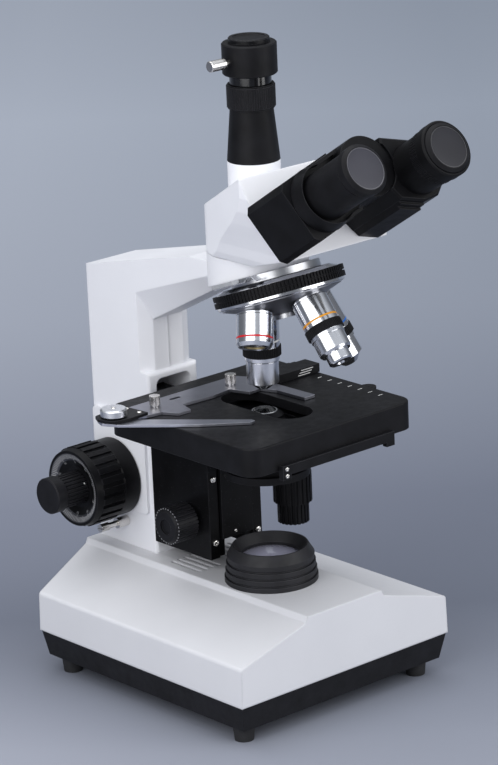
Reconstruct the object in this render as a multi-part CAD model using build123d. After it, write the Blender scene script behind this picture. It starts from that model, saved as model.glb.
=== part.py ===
from build123d import *
import os
from math import acos, ceil, cos, floor, pi, radians, sin, sqrt, tan

# Upright microscope with two eyepieces and a photo tube, built as separate pieces.
# Origin on the optical axis at the table, +X to the user's right, -Y to the front, +Z up, in mm.

# Fits shared by all pieces
RUN = 0.05              # radial play of a shaft in its bearing
SEAT = 0.02             # radial play of a fixed seat
SLIP = 0.3              # gap between sliding faces
CLEAR = 0.4             # gap between pieces that pass each other

# Rack and pinion, the same for focus, condenser and both stage drives
GEAR_MODULE = 0.8
COARSE_SHAFT_R = 5.0    # thickest shaft that carries a pinion
PINION_WALL = 0.4       # metal left between that shaft and the tooth roots
BACKLASH = 0.2
FLANK_ANGLE = radians(20)
GEAR_PITCH = pi * GEAR_MODULE
ADDENDUM = 0.65 * GEAR_MODULE
DEDENDUM = 1.1 * GEAR_MODULE
PINION_TEETH = ceil(2 * (COARSE_SHAFT_R + PINION_WALL + DEDENDUM) / GEAR_MODULE)
PITCH_R = GEAR_MODULE * PINION_TEETH / 2

# Base
BASE_HALF_W = 92.5
BASE_FRONT = 72.2       # optical axis to front wall
BASE_SIDE_BACK = 137.4  # optical axis to the rear side corners
BASE_BACK = 155.5       # optical axis to the rear wall
FOOT_H = 11.5
PAN_H = 18.2
COVER_WALL_H = 26.7
RIDGE_X = 34.8
RIDGE_RISE = 16.2       # side wall top to deck ridge
DECK_STEP = 4.1
DECK_STEP_IN = 1.8
COVER_DRAFT = 1.2
COVER_ROUND = 3.0
SHELL = 3.0
PAN_INSET_TOP = 0.9
PAN_INSET_LOW = 4.5
PAN_FLOOR = 2.5
PAN_Z = FOOT_H
COVER_Z = PAN_Z + PAN_H
WALL_TOP_Z = COVER_Z + COVER_WALL_H
RIDGE_Z = WALL_TOP_Z + RIDGE_RISE
DECK_Z = RIDGE_Z + DECK_STEP
DECK_X = RIDGE_X - DECK_STEP_IN

FOOT_TOP_R = 7.6
FOOT_LOW_R = 6.4
FOOT_X = 77.3
FOOT_FRONT = 55.3
FOOT_BACK = 122.5

SCREW_SHANK_R = 1.6
SCREW_HEAD_R = 3.2
SCREW_HEAD_H = 1.4
SCREW_BOSS_R = 4.5
SCREW_X = 83.2
SCREW_RIB = 3.0
SCREW_FRONT = 61.5
SCREW_BACK = 108.0
SCREW_BITE = 14.0

VENT_COUNT = 4
VENT_PITCH = 5.6
VENT_LENGTH = 30.0
VENT_W = 2.4
VENT_Y = 59.0
VENT_INNER_X = 8.0

# Lamp, board and mains parts inside and on the base
INLET_W = 27.0
INLET_H = 19.5
INLET_DEPTH = 17.0
INLET_RIM = 2.0
INLET_PROUD = 1.0
INLET_Z = 46.0
PIN_R = 1.5

ROCKER_L = 20.0
ROCKER_H = 12.0
ROCKER_PROUD = 3.2
ROCKER_DEPTH = 4.0
ROCKER_PIN_R = 0.9
ROCKER_GAP = 1.2        # room at each end for the rocker to tip
ROCKER_Y = 62.0
CONTROL_Z = 43.0

DIMMER_R = 9.0
DIMMER_LENGTH = 5.5
DIMMER_SHAFT_R = 3.0
DIMMER_SHAFT_IN = 14.0
DIMMER_Y = 20.0
DIMMER_FLUTES = 20

BOARD_W = 90.0
BOARD_L = 56.0
BOARD_T = 1.6
BOARD_Y = 95.0
STANDOFF_H = 6.0
STANDOFF_R = 3.0
TRANSFORMER_W = 38.0
TRANSFORMER_L = 32.0
TRANSFORMER_H = 26.0

LAMP_PLATE_W = 44.0
LAMP_PLATE_L = 36.0
LAMP_PLATE_T = 2.0
LAMP_POST_R = 9.0
LAMP_POST_H = 34.0
BULB_R = 5.5
BULB_BASE_R = 3.6
BULB_BASE_H = 7.0
BULB_H = 15.0

FIELD_R = 31.5
FIELD_TOP_R = 29.4
FIELD_RIM_R = 25.5
FIELD_H = 24.3
FIELD_CONE_H = 5.0
FIELD_RIBS = 4
FIELD_GROOVE_H = 1.5
FIELD_GROOVE = 1.8
FIELD_GLASS_R = 20.0
FIELD_GLASS_H = 4.0
FIELD_DOME = 4.5
FIELD_LEDGE = 12.0      # deck to lens ledge
FIELD_LEDGE_W = 2.5
FIELD_SPIGOT_R = 25.0
FIELD_SPIGOT_H = 6.0

# Arm
ARM_HALF_W = 22.0
ARM_FRONT = 95.9        # optical axis to the inner front of the column
ARM_BACK = 155.1
ARM_BACK_TOP_Z = 271.8
ARM_TOP_Y = 44.2
ARM_TOP_Z = 296.5
ARM_NOSE_Z = 297.0
BEAM_LOW_BACK_Z = 241.3  # underside where it meets the column
BEAM_LOW_NOSE_Z = 289.7  # underside carried on to the optical axis
ARM_CORE_HALF_W = 12.7
COLUMN_BEVEL = 5.6
COLUMN_RIB_W = 1.6       # casting rib up the middle of the column front
COLUMN_RIB = 0.7
BEAM_BEVEL_BACK_Z = 261.2
BEAM_BEVEL_NOSE_Z = 295.0
FRAME_Z = 205.0
FRAME_PROUD = 3.0
FRAME_ROUND = 5.0
WINDOW_HALF_W = 15.0
WINDOW_TOP_Z = 200.0
WINDOW_LOW_Z = 84.0
WINDOW_BACK = 141.0
WINDOW_ROUND = 5.0
PAD_PROUD = 2.2
PAD_FRONT = 98.0
PAD_LOW_Z = 103.6
PAD_TOP_Z = 172.0
PAD_ROUND = 4.0
ARM_EDGE = 2.5
BOSS_R = 33.4
BOSS_LOW_Z = 288.0      # on the optical axis
HEAD_SEAM_Z = 305.8

# Focus drive
FOCUS_Y = 130.0
FOCUS_Z = 126.0
FINE_SHAFT_R = 3.0
COARSE_R = 28.0
COARSE_FLUTES = 24
COARSE_FLUTE = 1.4
COARSE_FACE_X = 62.5
COARSE_RIM = 5.0
COARSE_RIM_DROP = (0.6, 1.6)    # rim below the grip radius at its back and front
COLLAR_R = 27.0
COLLAR_LENGTH = 14.0
DIAL_R = 24.5
DIAL_HUB_R = 14.5
DIAL_DEPTH = 4.5
FINE_R = 12.5
FINE_RIB_R = 11.6
FINE_RIB_COUNT = 28
FINE_RIB = 0.8
FINE_CAP_L = 9.0
FINE_FACE_X = 84.9
FINE_EDGE = 0.7
COLLAR_EDGE = 0.8
PINION_HALF_W = 6.0
SLIDE_FRONT = 100.0
SLIDE_LOW_Z = 98.5
SLIDE_TOP_Z = 185.0
RACK_HALF_W = 5.0

LIMIT_Y = 124.0
LIMIT_Z = 94.0
LIMIT_COLLAR_R = 3.7
LIMIT_COLLAR_L = 9.0
LIMIT_SHANK_R = 2.0
LIMIT_END_R = 2.8
LIMIT_END_L = 7.0
LIMIT_FACE_X = 46.0
SCREW_SLOT = 0.8

# Stage carrier and condenser
CARRIER_HALF_W = 23.0
CARRIER_FRONT = 36.4
CARRIER_LOW_Z = 86.5
CARRIER_TOP_Z = 178.0
CARRIER_WALL = 6.0
CARRIER_SLOT_HALF_W = 9.0
NECK_HALF_W = 11.0
NECK_LOW_Z = 120.0
NECK_TOP_Z = 175.0
STRIP_W = 8.0
STRIP_T = 2.0
PANEL_SCREW_R = 2.2
PANEL_SCREW_H = 1.2
PANEL_SCREW_SHANK_R = 1.3
PANEL_SCREW_SHANK = 7.0
PANEL_SCREW_Z = (98.0, 143.0)

COND_KNOB_Y = 53.3
COND_KNOB_Z = 112.0
COND_KNOB_R = 12.8
COND_KNOB_FACE_X = 45.9
COND_KNOB_L = 18.7
COND_KNOB_FLUTES = 30
COND_KNOB_FLUTE = 0.9
COND_KNOB_DISH_R = 5.5
COND_KNOB_DISH = 2.5
COND_KNOB_EDGE = 1.5
COND_COLLAR = 1.5
COND_SHAFT_R = 4.0
COND_PINION_HALF_W = 4.5

COND_PLATE_HALF_W = 13.5
COND_PLATE_T = 3.6
COND_PLATE_LOW_Z = 99.5
COND_RACK_LOW_Z = 106.0
COND_RACK_TOP_Z = 134.0
COND_RACK_HALF_W = 4.0
COND_RING_LOW_Z = 156.0
COND_RING_TOP_Z = 168.0
COND_RING_R = 25.0
COND_BODY_R = 18.9
COND_FLANGE_R = 29.0
COND_FLANGE_H = 4.8
COND_NECK_R = 12.6
COND_NECK_Z = 190.0
COND_TIP_R = 9.0
COND_TIP_Z = 194.5
COND_LENS_R = 7.5
COND_LENS_Z = 197.4
COND_LENS_RISE = 2.5
COND_BORE_R = 6.0
IRIS_SPIGOT_R = 14.0
IRIS_RING_R = 20.0
IRIS_T = 2.6
IRIS_LEVER_R = 36.0
IRIS_LEVER_W = 5.0
IRIS_ANGLE = 30.0

# Mechanical stage
STAGE_HALF_W = 72.2
STAGE_FRONT = 68.3
STAGE_BACK = 76.5
STAGE_TOP_Z = 198.7
STAGE_RIM_Z = 179.8
STAGE_PLATE_T = 6.5
STAGE_RIM_T = 3.0
STAGE_ROUND = 11.0
STAGE_EDGE = 1.2
APERTURE_HALF_W = 15.0
APERTURE_FRONT = 40.3
APERTURE_BACK = 36.0
LOWER_LEFT = 46.0
LOWER_FRONT = 36.0
LOWER_BACK = 62.0
LOWER_PLATE_T = 8.0
LOWER_BORE_R = 22.0
LOWER_RAIL_X = 34.0
LOWER_RAIL_W = 12.0
TAB_Y = -22.7
TAB_W = 11.0
TAB_T = 1.4
TAB_POST = 4.5
RAIL_HALF_L = 49.0
RAIL_T = 4.0
RAIL_LOW_Z = 177.0
RAIL_H = 6.5
RAIL_LUG = 7.0
RAIL_LUG_DROP = 3.0

DRIVE_X = 50.4
DRIVE_Y = 32.6
Y_SHAFT_R = 5.0
X_SHAFT_R = 3.0
Y_KNOB_R = 13.4
X_KNOB_R = 10.9
DRIVE_LOW_Z = 96.4
X_KNOB_H = 14.2
Y_KNOB_H = 21.0
KNOB_FLUTES = 22
KNOB_FLUTE = 0.9
SLEEVE_R = 8.6
BRACKET_T = 3.5
BRACKET_HALF_L = 10.5

# Slide holder
HOLDER_T = 2.0
HOLDER_LIFT = 0.3
TRACK_BACK = 56.0
TRACK_T = 3.6
TRACK_LEFT = 74.0
CARRIAGE_LEFT = 32.5
CARRIAGE_FRONT = 24.6
CARRIAGE_H = 6.0
CARRIAGE_FLANGE_H = 2.0
CARRIAGE_FLANGE_BACK = 50.0
X_RACK_LEFT = 15.0
X_RACK_RIGHT = 68.0
HOLDER_OUTLINE = (
    (-80.0, 57.0), (-80.0, 41.0), (-72.0, 34.5), (-60.5, 33.0), (-55.2, 22.4), (-44.5, 22.4),
    (-40.5, 35.8), (-14.0, 34.2), (1.5, 36.4), (6.6, 22.0), (16.5, 22.4), (21.0, 11.0),
    (22.0, -15.5), (31.2, -15.5), (30.2, 22.8), (30.2, 45.0), (23.2, 57.0))
HOLDER_SLOT = (-35.5, 49.0)
HOLDER_SLOT_L = 9.0
HOLDER_SLOT_W = 3.0
THUMB_SPOTS = ((-55.4, 46.0), (9.2, 44.0))
THUMB_R = 3.7
THUMB_H = 7.3
THUMB_SHANK_R = 1.8
THUMB_KNURLS = 18
KNURL = 0.35
MOUNT_OUTLINE = (
    (-102.5, 48.0), (-101.5, 41.0), (-98.0, 36.0), (-86.0, 33.3), (-71.0, 34.5), (-73.0, 53.5),
    (-90.0, 56.0), (-99.5, 54.0))
MOUNT_T = 2.0
PIVOT_X = -92.0
PIVOT_Y = 44.0
PIVOT_R = 8.8
PIVOT_EDGE = 0.9
PIVOT_H = 5.5
PIVOT_PIN_R = 2.5
FINGER_OUTLINE = (
    (-92.0, 52.5), (-100.0, 51.0), (-102.3, 44.0), (-97.0, 33.5), (-60.9, -6.0), (-35.5, -27.5),
    (-31.5, -26.5), (-31.5, -23.2), (-54.9, 3.4), (-84.5, 37.0), (-84.0, 47.0))
FINGER_T = 1.7

# Nosepiece and objectives
TURRET_TILT = 19.5
TURRET_Y = -19.7
TURRET_Z = 282.9
RING_R = 43.8
RING_H = 7.8
RING_SEAT_R = 41.0
RING_KNURLS = 108
RING_KNURL = 1.0
TURRET_TOP_R = 36.0
TURRET_BEVEL_H = 2.2
TURRET_RIM_R = 42.4
TURRET_RIM_H = 2.6
TURRET_RIM_W = 2.4
TURRET_RIM_EDGE = 1.5
TURRET_CONE_R = 12.0
STUD_R = 8.0
STUD_HEAD_R = 10.5
STUD_HEAD_H = 3.0
NOSE_PLATE_R = 30.0
NOSE_EAR = (-27.0, -11.0)
NOSE_EAR_REACH = 36.0
NOSE_PLATE_GAP = 0.4
SPRING_TURN = -72.0     # ear and spring about the turret axis, from the front to the left
SPRING_T = 0.7
SPRING_KINK_X = 3.0
SPRING_KINK_H = 2.6
LIGHT_R = 7.5
THREAD_R = 10.1
THREAD_L = 5.0
SEAT_D = 75.8           # along an objective from the tilt centre to its shoulder
BARREL_R = 12.0
WORK_TIP_Z = 209.9
OBJECTIVE_4X_L = 22.6
OBJECTIVE_10X_L = 47.0
OBJECTIVE_40X_L = 51.0
GRIP_PROUD = 0.3
GRIP_KNURL = 0.5
GRIP_KNURLS = 60
MOUTH_DEPTH = 1.2
MOUTH_STEP = 0.6
LIGHT_END = 4.0         # tip to the end of an objective's bore

# Steps of each barrel: drop below the barrel radius at the start and end, and the end's distance from the tip
STEPS_4X = ((0, 0, 2.6), (0, 1.4, 0))
STEPS_10X = ((0, 0, 21.0), (0.4, 0.4, 18.5), (1.0, 1.0, 8.5), (1.0, 2.0, 7.0), (4.0, 4.0, 1.0), (4.0, 5.0, 0))
STEPS_40X = ((0, 0, 19.0), (0.4, 0.4, 16.5), (1.2, 1.2, 5.0), (2.0, 7.0, 0))
STEPS_100X = ((0, 0, 23.0), (0.4, 0.4, 20.2), (2.2, 2.2, 19.5), (1.2, 1.2, 4.5), (2.2, 8.2, 0))
GRIP_10X = (27.0, 21.0)
GRIP_40X = (25.0, 19.0)
GRIP_100X = (29.4, 23.0)
MOUTH_4X_R = 7.0
MOUTH_10X_R = 3.5
MOUTH_40X_R = 2.5
MOUTH_100X_R = 2.0

# Head
EYE_TILT = 32.0
EYE_Y = -144.7          # eye lens plane on the centre line
EYE_Z = 388.6
EYE_SPREAD_R = 36.8     # swing axis to eyepiece axis
EYE_SWING = 15.7        # rest swing below level
HEAD_FACE_S = 90.7      # eye lens plane back to the sloped head face
HEAD_FACE_HALF_W = 56.3
HEAD_ROOF_Q = 35.0      # eye level up to the head roof, square to the eyepieces
HEAD_FACE_LOW_Q = 24.5  # eye level down to the lower edge of the sloped face
HEAD_ROOF_TILT = 26.0   # fall of the roof toward the back
HEAD_FLARE = ((36.6, 311.0), (39.5, 319.0), (44.0, 328.0), (49.5, 338.0), (54.0, 348.0))  # half width, height
HEAD_SIDE_TOP_Z = 358.0
HEAD_SPIGOT_R = 20.0
HEAD_SPIGOT_H = 6.5
HEAD_BORE_R = 12.0
HEAD_BORE_TOP_Z = 330.0
STUB_R = 17.35
STUB_TOP_Z = 364.9
HEAD_EDGE = 2.0
LOCK_R = 3.0
LOCK_SHANK_R = 1.8
LOCK_HEAD_L = 9.0
LOCK_DROP = 3.6         # head seam down to the lock screw axis

LUG_R = 20.5
PIN_HINGE_R = 6.0
HOUSE_SEAM_S = 52.5     # eye lens plane back to the split between the two lugs
LUG_FACE_S = 37.5
EYE_TUBE_R = 15.9
TROUGH_GAP = 3.7        # eyepiece to the lip round it
LIP_WALL = 2.2
LIP_BEVEL = 1.8
LIP_S = 40.5
TROUGH_FLOOR_S = 45.5
RING_SEAM_S = 51.0      # eye lens plane back to the groove behind the lip
RING_GROOVE = 0.7
LIP_R = EYE_TUBE_R + TROUGH_GAP
HOUSE_R = LIP_R + LIP_WALL
HOUSE_HALF_H = 21.5
HOUSE_CORNER = 4.0
HOUSE_INNER_X = -22.0           # underside stops short of the right housing
HOUSE_INNER_CORNER = (-13.0, -13.0)
EYE_NOSE_R = 16.7
EYE_NOSE_L = 8.5
EYE_GROOVE = 1.2
EYE_GROOVE_L = 1.6
EYE_NOSE_EDGE = 1.8
EYE_RIM = 0.5
EYE_LENS_R = 14.0
EYE_LENS_SET = 0.6
EYE_TUBE_BACK_S = 51.5
EYE_BORE_R = 13.0
LENS_T = 6.0
RIGHT_FACE_S = 36.0
RIGHT_STEP_S = (40.0, 44.0)     # eye lens plane back to the two steps behind the front face
RIGHT_DROP = 3.4                # underside below that of the front face
RIGHT_EDGE = 1.2
RIGHT_TUBE_R = 15.9
RIGHT_OUTLINE = (
    (13.0, -13.0), (21.0, -21.3), (40.0, -21.4), (51.5, -16.5), (57.6, -7.0), (57.6, 9.0),
    (50.0, 17.8), (38.0, 20.0), (13.0, 20.0))
DIOPTER_R = 18.8
DIOPTER_GRIP_R = 18.2
DIOPTER_SLEEVE_R = 17.6
DIOPTER_GRIP_S = 17.5
DIOPTER_RIM_S = 11.0
DIOPTER_FRONT_S = 2.4
DIOPTER_EDGE = 0.8
DIOPTER_KNURLS = 60
PRISM_R = 13.5

PHOTO_TOP_R = 14.2
PHOTO_SHOULDER_Z = 399.0
PHOTO_SPIGOT_R = 12.0
PHOTO_SPIGOT_Z = 419.5
PHOTO_BORE_R = 9.5
PHOTO_RING_R = 15.9
PHOTO_RING_TOP_Z = 415.2
PHOTO_KNURLS = 64
ADAPTER_NECK_R = 13.6
ADAPTER_R = 17.9
ADAPTER_EDGE = 0.8
ADAPTER_LOW_Z = 421.6
ADAPTER_TOP_Z = 442.2
PORT_R = 11.6
CAP_R = 13.45
CAP_H = 3.4
CAP_PLUG = 7.0
CAP_DISH = 0.8
CAP_EDGE = 0.6
CAP_RIM_W = 2.4
ADAPTER_SCREW_Z = 431.4
ADAPTER_SCREW_R = 3.65
ADAPTER_SCREW_FACE_X = 34.0
ADAPTER_SCREW_L = 12.5
ADAPTER_SHANK_R = 1.8
ADAPTER_SCREW_EDGE = 0.5

LOW = (Align.CENTER, Align.CENTER, Align.MIN)


# Shape helpers
def block(x0, x1, y0, y1, z0, z1):
    return Pos(x0, y0, z0) * Box(x1 - x0, y1 - y0, z1 - z0, align=(Align.MIN,) * 3)


def rod_z(x, y, z0, z1, radius):
    return Pos(x, y, z0) * Cylinder(radius, z1 - z0, align=LOW)


def rod_x(x0, x1, y, z, radius):
    return Pos(x0, y, z) * Rot(0, 90, 0) * Cylinder(radius, x1 - x0, align=LOW)


def along_x(shape, x, y, z, side):
    """Place a shape drawn along +Z so that it runs outward on the given side."""
    return Pos(x, y, z) * Rot(0, 90 * side, 0) * shape


def prism_x(points, x0, x1):
    face = Plane.YZ.offset(x0) * Polygon(*points, align=None)
    return extrude(face, amount=x1 - x0, dir=(1, 0, 0))


def prism_y(points, y0, y1):
    face = Plane.XZ.offset(-y0) * Polygon(*points, align=None)
    return extrude(face, amount=y1 - y0, dir=(0, 1, 0))


def prism_z(points, z0, z1):
    return extrude(Pos(0, 0, z0) * Polygon(*points, align=None), amount=z1 - z0, dir=(0, 0, 1))


def turned(points):
    """Solid of revolution about Z from radius and height pairs."""
    return revolve(Plane.XZ * Polygon(*points, align=None), Axis.Z, 360)


def ribbed(radius, depth, count, height, share=0.55):
    """Cylinder with square flutes cut along its length."""
    step = 2 * pi / count
    outline = []
    for index in range(count):
        start = index * step
        for part in (0, 0.5, 1):
            angle = start + part * share * step
            outline.append((radius * cos(angle), radius * sin(angle)))
        for part in (share, 1):
            angle = start + part * step
            outline.append(((radius - depth) * cos(angle), (radius - depth) * sin(angle)))
    return prism_z(outline, 0, height)


def involute(radius):
    angle = acos(PITCH_R * cos(FLANK_ANGLE) / radius)
    return tan(angle) - angle


def pinion(height, aim):
    """Spur pinion along +Z with one tooth centred on the aim angle, in degrees."""
    base = PITCH_R * cos(FLANK_ANGLE)
    half_pitch = pi / (2 * PINION_TEETH) - BACKLASH / (4 * PITCH_R)
    radii = (base, (base + PITCH_R) / 2, PITCH_R, PITCH_R + ADDENDUM)
    flank = [(radius, half_pitch + involute(PITCH_R) - involute(radius)) for radius in radii]
    flank.insert(0, (PITCH_R - DEDENDUM, flank[0][1]))
    outline = []
    for tooth in range(PINION_TEETH):
        middle = radians(aim) + 2 * pi * tooth / PINION_TEETH
        for radius, half in flank:
            outline.append((radius * cos(middle - half), radius * sin(middle - half)))
        for radius, half in reversed(flank):
            outline.append((radius * cos(middle + half), radius * sin(middle + half)))
    return prism_z(outline, 0, height)


def rack(start, end, depth, height):
    """Rack along +X, teeth toward +Y, pitch line on Y 0, a tooth space centred on X 0."""
    quarter = GEAR_PITCH / 4 - BACKLASH / 4
    root = quarter + DEDENDUM * tan(FLANK_ANGLE)
    tip = quarter - ADDENDUM * tan(FLANK_ANGLE)
    outline = [(start, -depth), (start, -DEDENDUM)]
    first = ceil((start + root) / GEAR_PITCH - 0.5)
    last = floor((end - root) / GEAR_PITCH - 0.5)
    for tooth in range(first, last + 1):
        middle = (tooth + 0.5) * GEAR_PITCH
        outline.append((middle - root, -DEDENDUM))
        outline.append((middle - tip, ADDENDUM))
        outline.append((middle + tip, ADDENDUM))
        outline.append((middle + root, -DEDENDUM))
    outline += [(end, -DEDENDUM), (end, -depth)]
    return prism_z(outline, 0, height)


def upright_rack(x, y, z):
    """Place a rack upright with its teeth toward the back."""
    return Plane(origin=(x, y, z), x_dir=(0, 0, 1), z_dir=(-1, 0, 0)).location


def rod_y(x, y0, y1, z, radius):
    return Pos(x, y0, z) * Rot(-90, 0, 0) * Cylinder(radius, y1 - y0, align=LOW)


# Base pieces
def base_plan(inset):
    corner = [(BASE_HALF_W, -BASE_FRONT), (BASE_HALF_W, BASE_SIDE_BACK), (RIDGE_X, BASE_BACK)]
    outline = corner + [(-x, y) for x, y in reversed(corner)]
    return offset(Polygon(*outline, align=None), amount=-inset, kind=Kind.INTERSECTION)


def cover_solid(inset, low_z):
    half = [(BASE_HALF_W, low_z), (BASE_HALF_W, COVER_Z), (BASE_HALF_W - COVER_DRAFT, WALL_TOP_Z),
            (RIDGE_X, RIDGE_Z), (DECK_X, DECK_Z)]
    outline = half + [(-x, z) for x, z in reversed(half)]
    profile = offset(Polygon(*outline, align=None), amount=-inset, kind=Kind.INTERSECTION)
    long_body = extrude(Plane.XZ.offset(BASE_FRONT) * profile, amount=BASE_FRONT + BASE_BACK, dir=(0, 1, 0))
    return long_body & extrude(base_plan(inset), amount=DECK_Z + SHELL, dir=(0, 0, 1))


def corner_spots(x, front, back):
    return [(x, -front), (-x, -front), (x, back), (-x, back)]


def vent_spots():
    first = [VENT_INNER_X + VENT_PITCH * index for index in range(VENT_COUNT)]
    return first + [-x for x in first]


def control_wall_x():
    """Right wall face at control height."""
    return BASE_HALF_W - COVER_DRAFT * (CONTROL_Z - COVER_Z) / COVER_WALL_H


def rocker_axis_x():
    return control_wall_x() - SHELL / 2


def make_base_cover():
    cover = cover_solid(0, COVER_Z)
    top_edges = cover.edges().filter_by(Axis.Y).group_by(Axis.Z)
    cover = fillet(top_edges[1], COVER_ROUND)
    cover -= cover_solid(SHELL, COVER_Z - 4 * SHELL)
    for x, y in corner_spots(SCREW_X, SCREW_FRONT, SCREW_BACK):
        boss_top = COVER_Z + SCREW_BITE + 2 * SCREW_SHANK_R
        rib_end = BASE_HALF_W - SHELL / 2 if x > 0 else SHELL / 2 - BASE_HALF_W
        boss = rod_z(x, y, COVER_Z, boss_top, SCREW_BOSS_R)
        boss += block(min(x, rib_end), max(x, rib_end), y - SCREW_RIB / 2, y + SCREW_RIB / 2,
                      COVER_Z, boss_top)
        cover += boss & cover_solid(SHELL / 2, 0)
        cover -= rod_z(x, y, COVER_Z - 1, COVER_Z + SCREW_BITE + SEAT, SCREW_SHANK_R + SEAT)
    for x in vent_spots():
        slot = Pos(x, VENT_Y, RIDGE_Z - SHELL) * SlotOverall(VENT_LENGTH, VENT_W, rotation=90)
        cover -= extrude(slot, amount=4 * SHELL, dir=(0, 0, 1))
    cover -= rod_z(0, 0, RIDGE_Z - SHELL, DECK_Z + 1, FIELD_SPIGOT_R + SEAT)
    cover -= block(-INLET_W / 2 - SEAT, INLET_W / 2 + SEAT, BASE_BACK - 2 * SHELL, BASE_BACK + 1,
                   INLET_Z - INLET_H / 2 - SEAT, INLET_Z + INLET_H / 2 + SEAT)
    wall = control_wall_x()
    cover -= rod_x(wall - 2 * SHELL, wall + 2, DIMMER_Y, CONTROL_Z, DIMMER_SHAFT_R + RUN)
    cover -= block(wall - 2 * SHELL, wall + 2, ROCKER_Y - ROCKER_L / 2 - ROCKER_GAP,
                   ROCKER_Y + ROCKER_L / 2 + ROCKER_GAP,
                   CONTROL_Z - ROCKER_H / 2 - CLEAR, CONTROL_Z + ROCKER_H / 2 + CLEAR)
    pin_reach = ROCKER_H / 2 + SHELL + CLEAR
    cover -= rod_z(rocker_axis_x(), ROCKER_Y, CONTROL_Z - pin_reach, CONTROL_Z + pin_reach,
                   ROCKER_PIN_R + RUN)
    return cover


def make_base_pan():
    top = Pos(0, 0, COVER_Z) * base_plan(PAN_INSET_TOP)
    low = Pos(0, 0, PAN_Z) * base_plan(PAN_INSET_LOW)
    pan = loft([low.face(), top.face()], ruled=True)
    hollow = Pos(0, 0, PAN_Z + PAN_FLOOR) * base_plan(PAN_INSET_LOW + SHELL)
    pan -= extrude(hollow, amount=PAN_H, dir=(0, 0, 1))
    for x, y in corner_spots(SCREW_X, SCREW_FRONT, SCREW_BACK):
        pan += rod_z(x, y, PAN_Z, COVER_Z, SCREW_BOSS_R)
        pan -= rod_z(x, y, PAN_Z - 1, COVER_Z + 1, SCREW_SHANK_R + SEAT)
        pan -= rod_z(x, y, PAN_Z - 1, PAN_Z + SCREW_HEAD_H, SCREW_HEAD_R + SEAT)
    return pan


def make_rubber_feet():
    foot = Cone(FOOT_LOW_R, FOOT_TOP_R, FOOT_H, align=LOW)
    return Compound([Pos(x, y, 0) * foot for x, y in corner_spots(FOOT_X, FOOT_FRONT, FOOT_BACK)])


def make_case_screws():
    screw = rod_z(0, 0, PAN_Z, PAN_Z + SCREW_HEAD_H, SCREW_HEAD_R)
    screw += rod_z(0, 0, PAN_Z, COVER_Z + SCREW_BITE, SCREW_SHANK_R)
    screw -= block(-SCREW_HEAD_R, SCREW_HEAD_R, -SCREW_SLOT / 2, SCREW_SLOT / 2,
                   PAN_Z - 1, PAN_Z + SCREW_SLOT)
    return Compound([Pos(x, y, 0) * screw for x, y in corner_spots(SCREW_X, SCREW_FRONT, SCREW_BACK)])


def make_power_inlet():
    face = BASE_BACK + INLET_PROUD
    body = block(-INLET_W / 2, INLET_W / 2, face - INLET_DEPTH, face,
                 INLET_Z - INLET_H / 2, INLET_Z + INLET_H / 2)
    rim = block(-INLET_W / 2 - INLET_RIM, INLET_W / 2 + INLET_RIM, BASE_BACK, face,
                INLET_Z - INLET_H / 2 - INLET_RIM, INLET_Z + INLET_H / 2 + INLET_RIM)
    wall = 1.5 * INLET_RIM
    well = block(-INLET_W / 2 + wall, INLET_W / 2 - wall, face - INLET_DEPTH + wall, face + 1,
                 INLET_Z - INLET_H / 2 + wall, INLET_Z + INLET_H / 2 - wall)
    inlet = body + rim - well
    for x, z in ((-INLET_W / 4, INLET_Z - PIN_R), (0, INLET_Z + PIN_R), (INLET_W / 4, INLET_Z - PIN_R)):
        pin = Cylinder(PIN_R, INLET_DEPTH - wall - PIN_R, align=LOW)
        inlet += Pos(x, face - INLET_DEPTH + wall, z) * Rot(-90, 0, 0) * pin
    return inlet


def make_switch_rocker():
    axis_x = rocker_axis_x()
    half = ROCKER_L / 2
    crown = SHELL / 2 + ROCKER_PROUD
    outline = [(-ROCKER_DEPTH, -half + 1), (SHELL / 2, -half), (crown, -half), (SHELL / 2 + 0.5, 0),
               (SHELL / 2 + 0.5, half), (-ROCKER_DEPTH, half - 1)]
    rocker = prism_z(outline, -ROCKER_H / 2, ROCKER_H / 2)
    reach = ROCKER_H / 2 + SHELL
    rocker += rod_z(0, 0, -reach, reach, ROCKER_PIN_R)
    return Pos(axis_x, ROCKER_Y, CONTROL_Z) * rocker


def make_brightness_knob():
    wall = control_wall_x() + CLEAR
    knob = ribbed(DIMMER_R, KNOB_FLUTE, DIMMER_FLUTES, DIMMER_LENGTH)
    knob += Cylinder(DIMMER_R - KNOB_FLUTE, DIMMER_LENGTH + 1, align=LOW)
    knob += Pos(0, 0, -DIMMER_SHAFT_IN) * Cylinder(DIMMER_SHAFT_R, DIMMER_SHAFT_IN + 1, align=LOW)
    return along_x(knob, wall, DIMMER_Y, CONTROL_Z, 1)


def make_circuit_board():
    low = PAN_Z + PAN_FLOOR
    board_z = low + STANDOFF_H
    front = BOARD_Y - BOARD_L / 2
    back = BOARD_Y + BOARD_L / 2
    board = block(-BOARD_W / 2, BOARD_W / 2, front, back, board_z, board_z + BOARD_T)
    board += block(-TRANSFORMER_W / 2, TRANSFORMER_W / 2, BOARD_Y - TRANSFORMER_L / 2,
                   BOARD_Y + TRANSFORMER_L / 2, board_z, board_z + BOARD_T + TRANSFORMER_H)
    for x in (-BOARD_W / 2 + 2 * STANDOFF_R, BOARD_W / 2 - 2 * STANDOFF_R):
        for y in (front + 2 * STANDOFF_R, back - 2 * STANDOFF_R):
            board += rod_z(x, y, low, board_z + BOARD_T, STANDOFF_R)
    return board


def lamp_seat_z():
    return PAN_Z + PAN_FLOOR + LAMP_PLATE_T + LAMP_POST_H


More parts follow.
